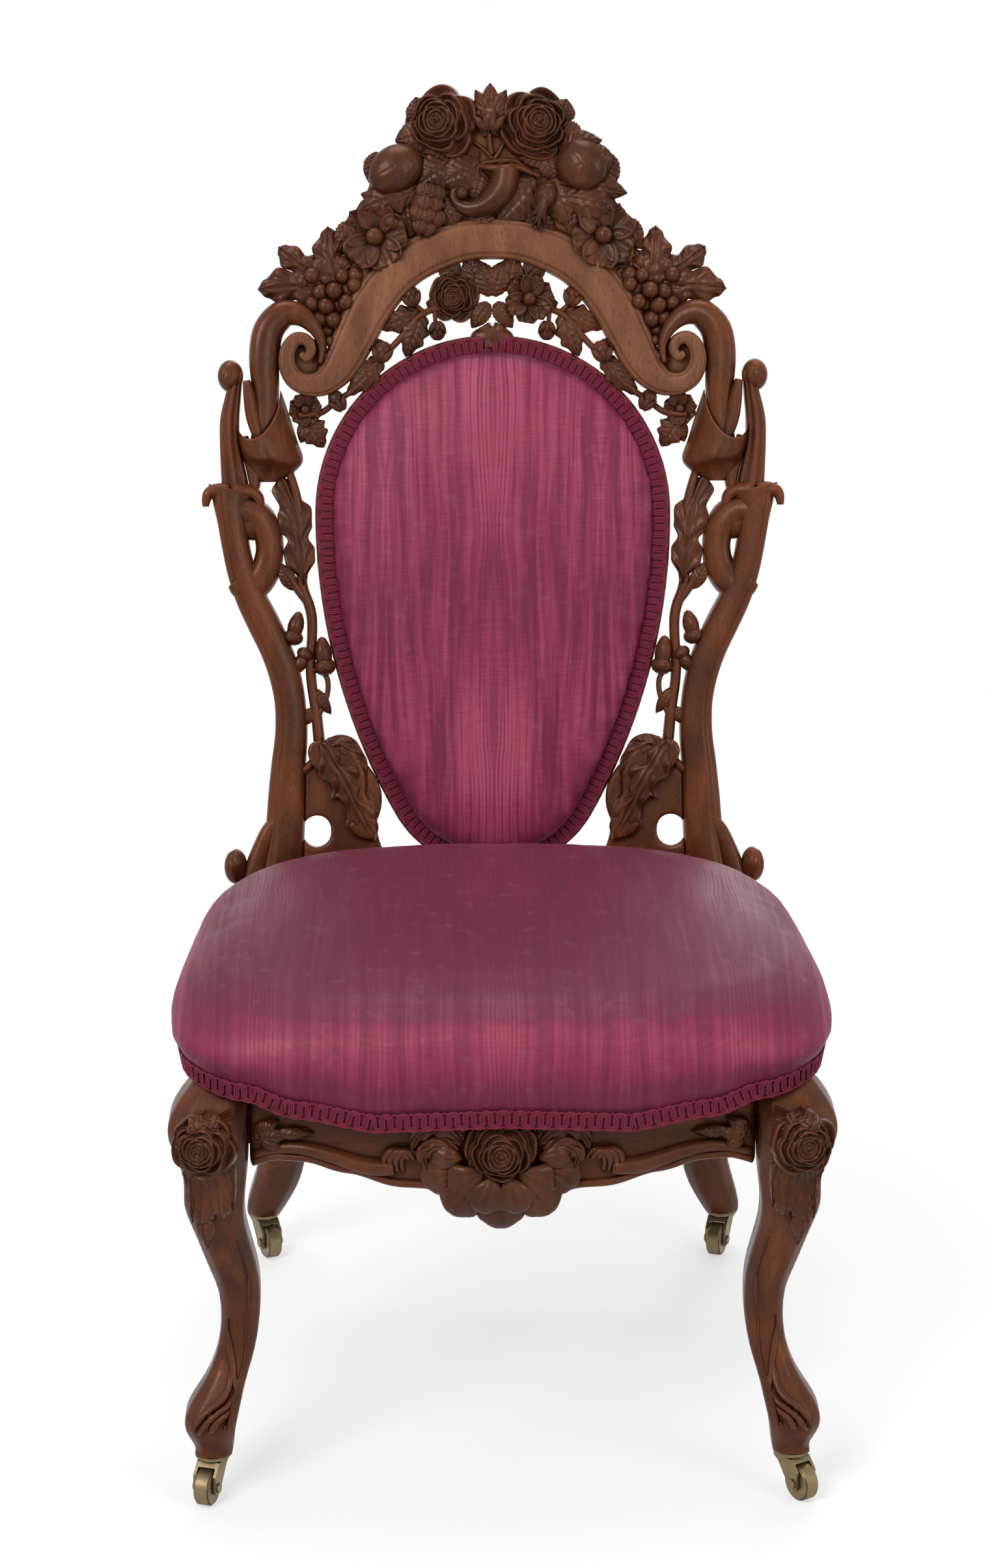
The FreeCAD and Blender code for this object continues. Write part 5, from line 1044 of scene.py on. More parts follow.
def bracket_leaves(side):
    """The oak leaf and curls that lie on the lower bracket."""
    bm = bmesh.new()
    face = PANEL_FACE + 1
    lobed_leaf(bm, on_side(side, LOW_LEAF[0]), *LOW_LEAF[1:][::side], face - 1, 7.0)
    half = [(0, 3), (0.2, 9), (0.45, 12), (0.7, 9), (1, 1)]
    lobed_leaf(bm, on_side(side, [(150, 168), (136, 172), (122, 160), (112, 138)]), half, half,
               face - 4, 6.0)
    stems(bm, [([(168, 150, -3), (156, 160, -2), (150, 172, -2)], 4.0, 0.8),
               ([(128, 76, -4), (112, 70, -3), (98, 76, -3), (92, 66, -4), (92, 44, -6)],
                4.4, 0.8)], face, side)
    lay_on_back(bm)
    carved(f"{hand(side)}_bracket_leaf", bm)


# The hoop, the stiles and what joins them
HOOP_HALF = [
    (0, 616, 36), (-25, 614, 36), (-50, 606, 37), (-73, 594, 38), (-92, 577, 39),
    (-108, 555, 39), (-119, 533, 37), (-129, 513, 34), (-138, 499, 28.5), (-149, 490, 22.5),
    (-162, 488.5, 19), (-173, 494, 17), (-179, 506, 15), (-178, 519, 13.5),
    (-171, 528, 12), (-162, 527, 10.5), (-158, 519, 9), (-162, 512, 7.5), (-167, 515, 5.5),
]


def hoop():
    """The broad moulded hoop, which curls into a closed scroll at each end."""
    bm = bmesh.new()
    mirrored_half = [(-u, v, width) for u, v, width in HOOP_HALF[:0:-1]]
    band(bm, mirrored_half + HOOP_HALF, HOOP_SECTION)
    for side in (-1, 1):
        ball(bm, (side * 163, 510, 4), (19, 20, 8), 24, 12)
        ball(bm, (side * 165, 514, 12), (4.5, 4.5, 9), 16, 10)
    lay_on_back(bm)
    carved("moulded_hoop", bm, ("back_hoop",), band_wood)


STILE_LINE = [
    (-190, 22, 40), (-188, 60, 38), (-184, 100, 34), (-182.5, 128, 32), (-180.5, 156, 30),
    (-178, 184, 28), (-179, 212, 26.5), (-183.5, 236, 27), (-191, 258, 27),
    (-201, 280, 27.5), (-212, 303, 26), (-220, 326, 24), (-225, 350, 23.5),
    (-228, 372, 25), (-229, 384, 29), (-228, 393, 37), (-227, 398, 43),
]
RING_LINE = [
    (-228, 372, 16), (-219, 379, 23), (-207, 375, 27), (-198, 362, 25), (-195.5, 345, 24),
    (-199, 328, 26), (-208, 315, 27), (-219, 312, 22), (-226, 318, 14),
]
STRAND_LINE = [
    (-186, 112, 8), (-196, 100, 15), (-203, 84, 18), (-209, 66, 20), (-213, 44, 21),
    (-215, 22, 20),
]
POST_LINE = [
    (-205, 424, 17), (-201, 443, 19.5), (-198, 463, 21), (-198, 484, 23), (-199, 512, 26),
    (-195, 536, 26), (-182, 550, 24), (-167, 548.5, 18.5), (-154.5, 537, 12),
    (-148.5, 522, 7.5), (-150, 507, 4.5),
]


def stile(side):
    """A stile with its curled ring, its flared lip and the knob at its foot."""
    bm = bmesh.new()
    band(bm, STILE_LINE, STILE_SECTION)
    band(bm, RING_LINE, ROUND_SECTION, BAND_FACE - 1, 20.5)
    band(bm, STRAND_LINE, ROUND_SECTION, BAND_FACE - 3, 20.5)
    for v, half in ((368, 15), (322, 14)):
        ball(bm, (-210, v, 9), (12, half, 10), 20, 12)
    for line, radii in (
            ([(-226, 396, 13), (-212, 397, 14), (-204, 391, 15), (-203, 382, 15),
              (-208, 378, 14)], [8.0, 6.5, 5.0, 3.6, 2.4]),
            ([(-230, 396, 12), (-243, 398, 12), (-250, 392, 12), (-250, 383, 12)],
             [8.0, 6.0, 4.6, 2.8])):
        sweep(bm, line, radii, sides=12)

    def folded(unit):
        return 1 - 0.08 * math.exp(-((unit.x + 0.35 * unit.y) / 0.16) ** 2)
    ball(bm, (-227, 68, 10), (10, 15.5, 11), 28, 18, folded)
    carved_side(side, "curled_stile", bm, "stile")


# The cup's two edges from its foot to its rim: left (u, v), then right (u, v)
CUP_EDGES = [
    (-203, 404, -187, 404), (-212, 411, -172, 414), (-218, 424, -166, 424),
    (-221, 438, -171, 440), (-223, 452, -177, 460), (-224, 464, -185, 484),
]


def shoulder(side):
    """The cup that holds the post, its ribbon, and the fluted neck with its knob."""
    bm = bmesh.new()
    sides = curve_through(CUP_EDGES, 8)

    def cup(s, t):
        way = t * (len(sides) - 1)
        low = min(len(sides) - 2, int(way))
        left_u, left_v, right_u, right_v = (
            a + (b - a) * (way - low) for a, b in zip(sides[low], sides[low + 1]))
        share = (s + 1) / 2
        arch = math.sqrt(max(0.0, 1 - s * s))
        v = left_v + (right_v - left_v) * share - 31 * arch * eased(t, 0.2, 1.0)
        crease = 1.6 * math.exp(-((s + 0.1 - 0.2 * t) / 0.07) ** 2) * math.sin(math.pi * t)
        w = 5 + 22 * arch * (0.4 + 0.6 * eased(t, 0.0, 0.7)) - crease
        return Vector((left_u + (right_u - left_u) * share, v, w))
    thin_patch(bm, 24, 28, cup, -4.0, Matrix.Identity(4))
    band(bm, [(-214, 492, 6), (-211, 476, 11), (-208, 458, 12), (-203, 442, 9),
              (-197, 431, 3)], ROUND_SECTION, BAND_FACE + 4, 14)
    band(bm, [(-222, 500, 9), (-226, 478, 13), (-229, 458, 16), (-229, 438, 17),
              (-227, 418, 20), (-225, 400, 23), (-226, 388, 24)], FLUTED_SECTION,
         BAND_FACE - 3, 20)
    band(bm, [(-216, 444, 5), (-213, 428, 10), (-209, 414, 12), (-208, 400, 9),
              (-211, 390, 5)], ROUND_SECTION, BAND_FACE - 5, 16)

    def coiled(unit):
        angle = math.atan2(unit.y, unit.x)
        reach = math.hypot(unit.x, unit.y)
        return 1 - 0.07 * math.exp(-((reach - 0.25 - 0.1 * angle) / 0.1) ** 2)
    ball(bm, (-228, 496, 10), (11, 14, 12), 30, 20, coiled)
    carved_side(side, "shoulder_cup", bm, "shoulder")


def post(side):
    """The post that curls over the hoop's scroll."""
    bm = bmesh.new()
    band(bm, POST_LINE, ROUND_SECTION, BAND_FACE + 1.5, 25.5)
    ball(bm, (-205, 426, 12), (9, 8, 10), 20, 12)
    carved_side(side, "curled_post", bm, "scroll_post")


# Rounded copies of the frame's wood
def even_mesh(piece, voxel, smoothing=0):
    """Gives a piece an even mesh of small faces, and eases its edges."""
    remesh = piece.modifiers.new("even", "REMESH")
    remesh.mode = "VOXEL"
    remesh.voxel_size = voxel
    if smoothing:
        soft = piece.modifiers.new("soft", "SMOOTH")
        soft.factor = 0.5
        soft.iterations = smoothing
    piece.data = evaluated(piece)


def evaluated(piece):
    """The mesh that the piece's modifiers make. They are then taken off."""
    bpy.context.view_layer.update()
    graph = bpy.context.evaluated_depsgraph_get()
    made = bpy.data.meshes.new_from_object(piece.evaluated_get(graph))
    piece.modifiers.clear()
    return made


def shaded_smooth(piece):
    for face in piece.data.polygons:
        face.use_smooth = True


def eased_copy(node_name, material, voxel, smoothing):
    """A frame node with its edges eased as a carver leaves them."""
    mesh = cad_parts[node_name].data.copy()
    bm = bmesh.new()
    bm.from_mesh(mesh)
    bmesh.ops.remove_doubles(bm, verts=bm.verts, dist=MERGE_REACH)
    bm.to_mesh(mesh)
    bm.free()
    mesh.materials.clear()
    mesh.materials.append(material)
    piece = bpy.data.objects.new(node_name + "_eased", mesh)
    in_scene(piece, (node_name,))
    even_mesh(piece, voxel, smoothing)
    bpy.data.meshes.remove(mesh)
    shaded_smooth(piece)


# Each node with its finish, the size of its faces in metres and how often it is smoothed
EASED_NODES = {
    "left_lower_bracket": (upright_wood, 0.0019, 3),
    "right_lower_bracket": (upright_wood, 0.0019, 3),
    "front_left_leg": (upright_wood, 0.0021, 5), "front_right_leg": (upright_wood, 0.0021, 5),
    "rear_left_leg": (upright_wood, 0.0024, 2), "rear_right_leg": (upright_wood, 0.0024, 2),
    "front_rail": (lying_wood, 0.0022, 3), "rear_rail": (lying_wood, 0.0026, 2),
    "crest_board": (board_wood, 0.0019, 2),
    "medallion_frame": (upright_wood, 0.0022, 2),
}


# Upholstery
def eased_line(shares, x):
    """A height read from stations by a smooth blend between the two nearest."""
    for (x_low, low), (x_high, high) in zip(shares, shares[1:]):
        if x <= x_high:
            return low + (high - low) * eased(x, x_low, x_high)
    return shares[-1][1]


SHOW_LINE = [(0.0, 0.0), (0.35, -0.18), (0.64, 0.22), (0.8, 0.64), (1.05, 1.0), (1.4, 1.05)]


def show_line_z(x):
    """The height of the line where wood meets silk, at x across the seat."""
    return SHOW_LINE_Z + SHOW_LINE_SWELL * eased_line(SHOW_LINE, abs(x) / SEAT_HALF_FRONT)


# The cushion's rings: share of the rise, overhang, drawn in at the sides and at the ends,
# and how square the outline is
SEAT_RINGS = [
    (0.02, 0.5, 0.0, 0.0, 7.0), (0.08, 0.55, 0.0, 0.0, 7.0), (0.15, 0.64, 0.0, 0.0, 6.8),
    (0.23, 0.92, 0.0, 0.0, 6.5), (0.36, 1.2, 0.0, 0.0, 6.0), (0.5, 1.34, 0.0, 0.0, 5.2),
    (0.63, 1.3, 0.0, 0.008, 4.6), (0.75, 1.1, 0.006, 0.024, 4.1), (0.86, 0.7, 0.036, 0.06, 3.5),
    (0.94, 0.1, 0.125, 0.13, 2.9), (0.98, 0.0, 0.27, 0.215, 2.5), (1.0, 0.0, 0.44, 0.32, 2.3),
    (1.008, 0.0, 0.64, 0.42, 2.2), (1.01, 0.0, 0.84, 0.47, 2.1),
]
SEAT_RING_POINTS = 168
# The seat's middle and its mean radius, in metres, to measure the way round its edge
SEAT_MIDDLE_Y, SEAT_RADIUS = -0.08, 0.3


def plan_point(angle, half_front, half_rear, front_y, rear_y, front_bow, rear_sag, power):
    """A point of the seat's bowed and tapered outline, seen from above."""
    c, s = math.cos(angle), math.sin(angle)
    across = math.copysign(abs(c) ** (2 / power), c)
    along = math.copysign(abs(s) ** (2 / power), s)
    back = (along + 1) / 2
    half = half_front + (half_rear - half_front) * back
    y = front_y + (rear_y - front_y) * back
    y -= front_bow * (1 - across ** 2) * max(0.0, -along)
    y -= rear_sag * across ** 2 * max(0.0, along)
    return half * across, y


def seat_ring(height, out, side_in, end_in, power, grow=0.0):
    """The corners of one ring of the cushion."""
    depth = SEAT_REAR_Y - SEAT_FRONT_Y
    reach = out * SEAT_OVERHANG + grow
    points = []
    for index in range(SEAT_RING_POINTS):
        angle = 2 * math.pi * index / SEAT_RING_POINTS
        x, y = plan_point(angle, SEAT_HALF_FRONT * (1 - side_in) + reach,
                          SEAT_HALF_REAR - SEAT_HALF_FRONT * side_in + reach,
                          SEAT_FRONT_Y + depth * end_in - reach,
                          SEAT_REAR_Y - depth * end_in + grow,
                          SEAT_BOW * (1 - end_in), SEAT_REAR_SAG * (1 - end_in), power)
        low = show_line_z(x)
        level = SHOW_LINE_Z + SEAT_RISE * height
        blend = eased(height, 0.0, 0.7)
        z = low * (1 - blend) + level * blend + (1 - blend) * SEAT_RISE * height
        points.append(Vector((x, y, z)))
    return points


def circle_loop(bm, count, capped):
    """A closed loop of points, in order round the circle."""
    made = bmesh.ops.create_circle(bm, cap_ends=capped, segments=count, radius=1.0)
    return sorted(made["verts"], key=lambda vert: math.atan2(vert.co.y, vert.co.x) % math.tau)


def loop_edges(bm, loop):
    return [bm.edges.get((loop[index - 1], loop[index])) for index in range(len(loop))]


def next_loop(bm, loop):
    """Extrudes a loop: its new points, in the same order."""
    made = bmesh.ops.extrude_edge_only(bm, edges=loop_edges(bm, loop))["geom"]
    old = set(loop)
    partner = {edge.other_vert(vert): vert for vert in made
               if isinstance(vert, bmesh.types.BMVert)
               for edge in vert.link_edges if edge.other_vert(vert) in old}
    return [partner[vert] for vert in loop]


def ring_stack(bm, rings):
    """A skin through rings of equally many points, closed at both ends."""
    loop = circle_loop(bm, len(rings[0]), True)
    for number, ring in enumerate(rings):
        if number:
            loop = next_loop(bm, loop)
        for vert, place in zip(loop, ring):
            vert.co = place
    bmesh.ops.contextual_create(bm, geom=loop_edges(bm, loop))


CLOTH_PRESSURE = 4.0
CLOTH_MOMENTS = 20
LOOSEST = 0.7


def puffed(piece, cap, looseness):
    """Fills a padded piece with air by cloth, up to cap and as loose as each point is."""
    rest = piece.data
    cloth = piece.modifiers.new("cloth", "CLOTH")
    cloth.settings.quality = 5
    cloth.settings.mass = 0.3
    cloth.settings.use_pressure = True
    cloth.settings.uniform_pressure_force = CLOTH_PRESSURE
    cloth.settings.effector_weights.gravity = 0.0
    cloth.point_cache.frame_start = 1
    cloth.point_cache.frame_end = CLOTH_MOMENTS
    for moment in range(1, CLOTH_MOMENTS + 1):
        bpy.context.scene.frame_set(moment)
    blown = evaluated(piece)
    for vert, end in zip(rest.vertices, blown.vertices):
        move = end.co - vert.co
        if move.length > cap:
            move *= cap / move.length
        vert.co += move * looseness(vert.co)
    bpy.data.meshes.remove(blown)
    bpy.context.scene.frame_set(1)


# How far in from the tacked edge, in metres, the puckers and the slow waves fade
PUCKER_REACH, WAVE_REACH = 0.016, 0.05


def tucked(piece, edge_of, pucker, spacing):
    """Small puckers and slow waves that run in from the tacked edge and fade."""
    for vert in piece.data.vertices:
        distance, along, way = edge_of(vert.co)
        ripple = noise.noise(Vector((along / spacing, distance * 30, 0.3)))
        wave = noise.noise(Vector((along / spacing * 0.27, distance * 9, 4.1)))
        vert.co += way * pucker * (math.exp(-distance / PUCKER_REACH) * ripple
                                   + 0.5 * math.exp(-distance / WAVE_REACH) * wave)


def upholstered(piece, material, looseness, edge_of, voxel, cap, pucker, spacing):
    """Puffs a cushion, puckers its edge and rounds its faces."""
    even_mesh(piece, voxel)
    puffed(piece, cap, looseness)
    piece.data.materials.clear()
    piece.data.materials.append(material)
    tucked(piece, edge_of, pucker, spacing)
    shaded_smooth(piece)
    rounder = piece.modifiers.new("round", "SUBSURF")
    rounder.levels = 1
    rounder.render_levels = 1


def seat_cushion():
    """The domed cushion in its silk, over the springs and the stuffing."""
    bm = bmesh.new()
    ring_stack(bm, [seat_ring(*ring) for ring in SEAT_RINGS])
    piece = finish_piece("seat_cushion", bm, seat_silk,
                         replaces=("seat_cover", "seat_stuffing"))

    def over_edge(point):
        return point.z - show_line_z(point.x / MM) * MM

    def looseness(point):
        return LOOSEST * eased(over_edge(point), 0.022, 0.07)

    def edge_of(point):
        back = point.y - SEAT_MIDDLE_Y
        along = math.atan2(back, point.x) * SEAT_RADIUS
        way = Vector((point.x, back, 0.0)).normalized()
        return max(0.0, over_edge(point)), along, way
    upholstered(piece, seat_silk, looseness, edge_of, voxel=0.0062, cap=0.006,
                pucker=0.0022, spacing=0.011)


def egg_ring(inset, count):
    """The oval in four arcs, drawn in by inset, as points (u, v)."""
    side_u = EGG_SIDE - EGG_TOP
    drop = math.sqrt((EGG_SIDE - EGG_TIP) ** 2 - side_u ** 2)
    turn = math.asin(drop / (EGG_SIDE - EGG_TIP))
    arcs = [((0.0, EGG_CENTRE_V), EGG_TOP - inset, 0.0, math.pi),
            ((side_u, EGG_CENTRE_V), EGG_SIDE - inset, math.pi, math.pi + turn),
            ((0.0, EGG_CENTRE_V - drop), EGG_TIP - inset, math.pi + turn,
             math.tau - turn),
            ((-side_u, EGG_CENTRE_V), EGG_SIDE - inset, math.tau - turn, math.tau)]
    lengths = [radius * (end - start) for _, radius, start, end in arcs]
    total = sum(lengths)
    points = []
    for index in range(count):
        way = total * index / count
        for (centre, radius, start, end), length in zip(arcs, lengths):
            if way <= length:
                angle = start + (end - start) * way / length
                points.append((centre[0] + radius * math.cos(angle),
                               centre[1] + radius * math.sin(angle)))
                break
            way -= length
        else:
            points.append((EGG_TOP - inset, EGG_CENTRE_V))
    return points


# The pad's rings: share of the crown and how far the outline is drawn in
PAD_RINGS = [
    (0.0, 0.0), (0.25, -1.0), (0.45, -0.5), (0.6, 2.0), (0.72, 7.0), (0.82, 15.0),
    (0.9, 27.0), (0.955, 44.0), (0.985, 64.0), (1.0, 86.0),
]
# The pad's outline in points, and the way from one to the next in metres
PAD_OUTLINE_POINTS, PAD_OUTLINE_STEP = 260, 0.0046


def back_pad():
    """The oval pad in its silk."""
    bm = bmesh.new()
    edge = GIMP_INSET + GIMP_WIDTH - 1.0
    rings = []
    for share, drawn in PAD_RINGS:
        hollow = eased(share, 0.0, 0.9) * 0.85
        rings.append([Vector((u, v, EGG_FACE + share * PAD_CROWN
                              - hollow * (sagitta(u) - sagitta(60.0))))
                      for u, v in egg_ring(min(edge + drawn, EGG_TIP - 4.0), 150)])
    ring_stack(bm, rings)
    lay_on_back(bm)
    piece = finish_piece("back_pad", bm, pad_silk,
                         replaces=("medallion_cover", "medallion_stuffing"))
    outline = [back_point(u, v, EGG_FACE + 4) * MM
               for u, v in egg_ring(edge, PAD_OUTLINE_POINTS)]
    way_out = Vector((0.0, -math.cos(BACK_RAKE), math.sin(BACK_RAKE)))

    def edge_of(point):
        index = min(range(len(outline)), key=lambda i: (outline[i] - point).length_squared)
        return (outline[index] - point).length, index * PAD_OUTLINE_STEP, way_out

    def looseness(point):
        return LOOSEST * eased(edge_of(point)[0], 0.016, 0.06)
    upholstered(piece, pad_silk, looseness, edge_of, voxel=0.0055, cap=0.005,
                pucker=0.0034, spacing=0.013)


# Gimp
GIMP_PERIOD = 13.0
GIMP_TURN = 6
CORD_OFFSETS = (-1.6, 0.0, 1.6)
CORD_RADIUS = 0.8


def serpentine(offset, half_width):
    """One period of a cord that runs to and fro across the gimp: places (along, across)."""
    quarter = GIMP_PERIOD / 4
    places = []
    for centre, way in ((quarter, 1), (3 * quarter, -1)):
        radius = quarter + offset * way
        height = half_width - quarter - abs(max(CORD_OFFSETS))
        for step in range(GIMP_TURN + 1):
            angle = math.pi * (1 - step / GIMP_TURN)
            places.append((centre + radius * math.cos(angle),
                           way * (height + radius * math.sin(angle))))
    return places


def gimp(name, points, outs, replaces):
    """Woven gimp: three cords run to and fro together between two looped edges."""
    count = len(points)
    lengths = [0.0]
    for index in range(count):
        lengths.append(lengths[-1] + (points[(index + 1) % count] - points[index]).length)
    total = lengths[-1]
    repeats = round(total / GIMP_PERIOD)
    stretch = total / (repeats * GIMP_PERIOD)

    def at(way):
        way %= total
        index = bisect_right(lengths, way) - 1
        share = (way - lengths[index]) / (lengths[index + 1] - lengths[index])
        after = (index + 1) % count
        spot = points[index].lerp(points[after], share)
        along = (points[after] - points[index]).normalized()
        out = outs[index].lerp(outs[after], share).normalized()
        return spot, out, out.cross(along).normalized()

    bm = bmesh.new()
    half = GIMP_WIDTH / 2 + 1.0
    for offset in CORD_OFFSETS:
        line = []
        for repeat in range(repeats):
            for along, across in serpentine(offset, half):
                spot, out, side = at((repeat * GIMP_PERIOD + along) * stretch)
                line.append(spot + side * across + out * 1.0)
        looped_cord(bm, line, CORD_RADIUS)
    for edge in (-1, 1):
        line = []
        for step in range(repeats * 12):
            spot, out, side = at(total * step / (repeats * 12))
            wave = (0.0, 0.55, 0.0, -0.55)[step % 4]
            line.append(spot + side * edge * (half - 0.9 + wave) + out * 1.1)
        looped_cord(bm, line, CORD_RADIUS * 0.85)
    ground = []
    for step in range(repeats):
        spot, out, side = at(total * step / repeats)
        ground.append((spot + side * (half - 0.6), spot - side * (half - 0.6)))
    flat_band(bm, ground)
    finish_piece(name, bm, gimp_thread, replaces)


def flat_band(bm, places):
    """The gimp's ground: a closed flat ribbon half a millimetre thick."""
    near_loop = circle_loop(bm, len(places), False)
    far_loop = next_loop(bm, near_loop)
    for near, far, (near_place, far_place) in zip(near_loop, far_loop, places):
        near.co = near_place
        far.co = far_place
    faces = list({face for vert in far_loop for face in vert.link_faces})
    bmesh.ops.solidify(bm, geom=faces, thickness=0.5)


def seat_gimp():
    """The gimp round the seat, over the tacks along the show line."""
    low, high = seat_ring(*SEAT_RINGS[0], 1.2), seat_ring(*SEAT_RINGS[2], 1.2)
    points, outs = [], []
    for index, (near, far) in enumerate(zip(low, high)):
        middle = near.lerp(far, 0.5)
        middle.z = show_line_z(middle.x) + GIMP_WIDTH / 2
        after = low[(index + 1) % len(low)]
        along = (after - low[index - 1]).normalized()
        up = (far - near).normalized()
        points.append(middle)
        outs.append(along.cross(up).normalized())
    gimp("seat_gimp_braid", points, outs, ("seat_gimp",))


def pad_gimp():
    """The gimp round the oval pad."""
    points, outs = [], []
    for u, v in egg_ring(GIMP_INSET + GIMP_WIDTH / 2, 220):
        here = back_point(u, v, EGG_FACE + 0.8)
        points.append(here)
        outs.append((back_point(u, v, EGG_FACE + 10) - here).normalized())
    gimp("pad_gimp_braid", points, outs, ("medallion_gimp",))


# Carving on the legs and the front rail, the legs' drawn on the left leg as (x, z, height)
KNEE_LEAVES = [
    (-232, 330, -252, 364, 14, 3.0, 7), (-238, 336, -234, 374, 14, 3.6, 7),
    (-226, 334, -210, 366, 14, 3.0, 7), (-222, 328, -198, 350, 13, 2.6, 6),
    (-222, 316, -196, 322, 13, 2.4, 6), (-222, 306, -198, 292, 13, 2.4, 6),
    (-250, 316, -268, 326, 12, 2.4, 6), (-250, 300, -264, 262, 14, 2.8, 7),
    (-244, 296, -253, 242, 14, 3.4, 8), (-236, 294, -240, 228, 13, 4.0, 8),
    (-226, 296, -222, 244, 13, 3.4, 8), (-218, 300, -205, 258, 13, 3.0, 7),
    (-238, 258, -234, 212, 9, 4.0, 7),
]
FOOT_SCROLL = [
    (-223, 152, 0.4), (-219, 142, 1.0), (-213, 128, 1.4), (-209, 112, 1.6), (-210, 96, 1.8),
    (-208, 82, 1.8), (-211, 70, 1.8), (-220, 67, 1.8), (-224, 75, 1.8), (-218, 80, 1.8),
]
FOOT_FLUTES = [
    [(-250, 62, 0.0), (-247, 84, 1.6), (-236, 104, 2.0), (-223, 122, 1.4), (-217, 136, 0.4)],
    [(-243, 58, 0.0), (-240, 78, 1.8), (-230, 98, 2.2), (-218, 114, 1.6), (-213, 126, 0.4)],
    [(-234, 60, 0.0), (-232, 78, 1.8), (-224, 94, 2.0), (-215, 106, 1.4), (-211, 116, 0.4)],
]
LEG_EDGE = [
    (-206, 214, 0.2), (-203, 196, 0.5), (-202, 176, 0.6), (-204, 154, 0.6), (-208, 132, 0.3),
]


def leg_carving(side):
    """The knee's rose with its leaves, the bead down the leg and the scroll at the foot."""
    bm = bmesh.new()
    skin = wood_skin(f"front_{hand(side)}_leg")
    leaves(bm, KNEE_LEAVES, 0, 1, "plain", 3.0)
    for line, radius in ((FOOT_SCROLL, 3.0), (LEG_EDGE, 1.2),
                         *((way, 4.4) for way in FOOT_FLUTES)):
        sweep(bm, line, [radius * (0.55 + 0.45 * math.sin(math.pi * index / (len(line) - 1)))
                         for index in range(len(line))], sides=10)
    ball(bm, (-219, 73, 1.5), (5.0, 5.5, 3.5), 16, 10)
    if side > 0:
        mirror(bm)
    lay_on_skin(bm, skin)
    knee = skin.ray_cast(Vector((side * 234, VIEW_Y, 317)), Vector((0, 1, 0)))[0]
    rose(bm, knee + Vector((0, -1, 0)), 26, 20, (side * 0.24, -1.0, 0.05), 30 * side, 1.06)
    carved(f"{hand(side)}_leg_carving", bm)


RAIL_EDGE = [(0.0, -1.2), (0.4, -0.9), (0.62, -0.34), (0.78, 0.08), (0.9, 0.12), (1.0, -0.2)]


def rail_edge_z(x):
    """The height of the front rail's lower edge at x."""
    return RAIL_BOTTOM_Z + APRON_DROP * eased_line(RAIL_EDGE, abs(x) / KNEE_INNER_X)


RAIL_SPRIGS = [
    (196, 318, 176, 328, 6, 0.4, 5), (196, 316, 168, 316, 7, 0.4, 5),
    (180, 318, 148, 318, 5, 0.4, 5), (192, 312, 174, 306, 5, 0.4, 5),
]


def rail_face_y(x):
    return SEAT_FRONT_Y + SEAT_BOW * (x / KNEE_INNER_X) ** 2


def rail_moulding():
    """The ridge that sweeps along the rail, its fluted curls, and sprigs at the knees."""
    bm = bmesh.new()
    stations = [-198 + 396 * index / 44 for index in range(45)]
    sweep(bm, [(x, rail_face_y(x) - 0.5, rail_edge_z(x) + 3) for x in stations],
          [3.4] * len(stations), sides=10)
    for side in (-1, 1):
        ridge = [(side * x, rail_face_y(x) - 1.5, z) for x, z in
                 ((198, 297), (182, 304), (160, 306), (138, 301), (118, 294), (100, 290),
                  (86, 291))]
        sweep(bm, ridge, [3.0, 4.4, 5.6, 6.4, 6.8, 7.4, 7.0], sides=12)
        for shift, out in ((0, 4.5), (4.5, 6.0), (9, 6.5), (13.5, 4.5)):
            curl = [(side * (x - shift), rail_face_y(85) - out * rise, z) for x, z, rise in
                    ((92, 287, 0.4), (95, 297, 0.9), (90, 306, 1.0), (82, 306, 1.0),
                     (79, 299, 0.9))]
            sweep(bm, curl, [1.6, 2.8, 3.2, 2.8, 2.2], sides=10)
        seat = standing(0, rail_face_y(172), 0)
        leaves(bm, RAIL_SPRIGS, 0, side, "plain", 3.0, seat)
        ball(bm, seat @ Matrix.Translation((side * 158, 318, 1.5)), (8, 5.0, 4.5), 18, 12)
    carved("front_rail_moulding", bm)


# Petals round the apron's rose: angle, root's distance, length, half width, height, lift
APRON_PETALS = [
    (199, 29, 32, 22, 2.0, 8), (232, 28, 33, 24, 4.5, 9), (270, 28, 35, 25, 2.0, 10),
    (308, 28, 33, 24, 4.5, 9), (341, 29, 32, 22, 2.0, 8), (214, 12, 33, 22, 9.0, 8),
    (250, 12, 34, 23, 11.0, 9), (289, 12, 34, 23, 11.0, 9), (326, 12, 33, 22, 9.0, 8),
    (176, 24, 28, 17, 5.0, 8), (4, 24, 28, 17, 5.0, 8),
]


def apron():
    """The rose over a cluster of broad petals and leaves under the seat's middle."""
    bm = bmesh.new()
    face_y = SEAT_FRONT_Y
    seat = standing(-2, face_y, 301)
    for angle, start, length, wide, w, lift in APRON_PETALS:
        way = math.radians(angle)
        petal_fan(bm, (start * 1.15 * math.cos(way), start * 0.85 * math.sin(way)), angle,
                  length, wide, w, lift, seat)
    for side in (-1, 1):
        for spine, wide, w in (
                ([(30, 14), (46, 26), (62, 22), (70, 8)], 9, 3.0),
                ([(34, 6), (50, 12), (60, 4), (58, -8)], 8, 4.0),
                ([(26, 20), (36, 34), (52, 36)], 7, 2.0)):
            half = [(0, wide * 0.5), (0.3, wide), (0.6, wide * 0.9), (0.85, wide * 0.6), (1, 1)]
            lobed_leaf(bm, on_side(side, spine), half, half, w, 6.0, 3.0, seat)
    rose(bm, (-2, face_y - 9, 309), 28, 24, (0, -1, 0.05), 15, 1.08)
    carved("apron_rose", bm, ("apron_carving",))


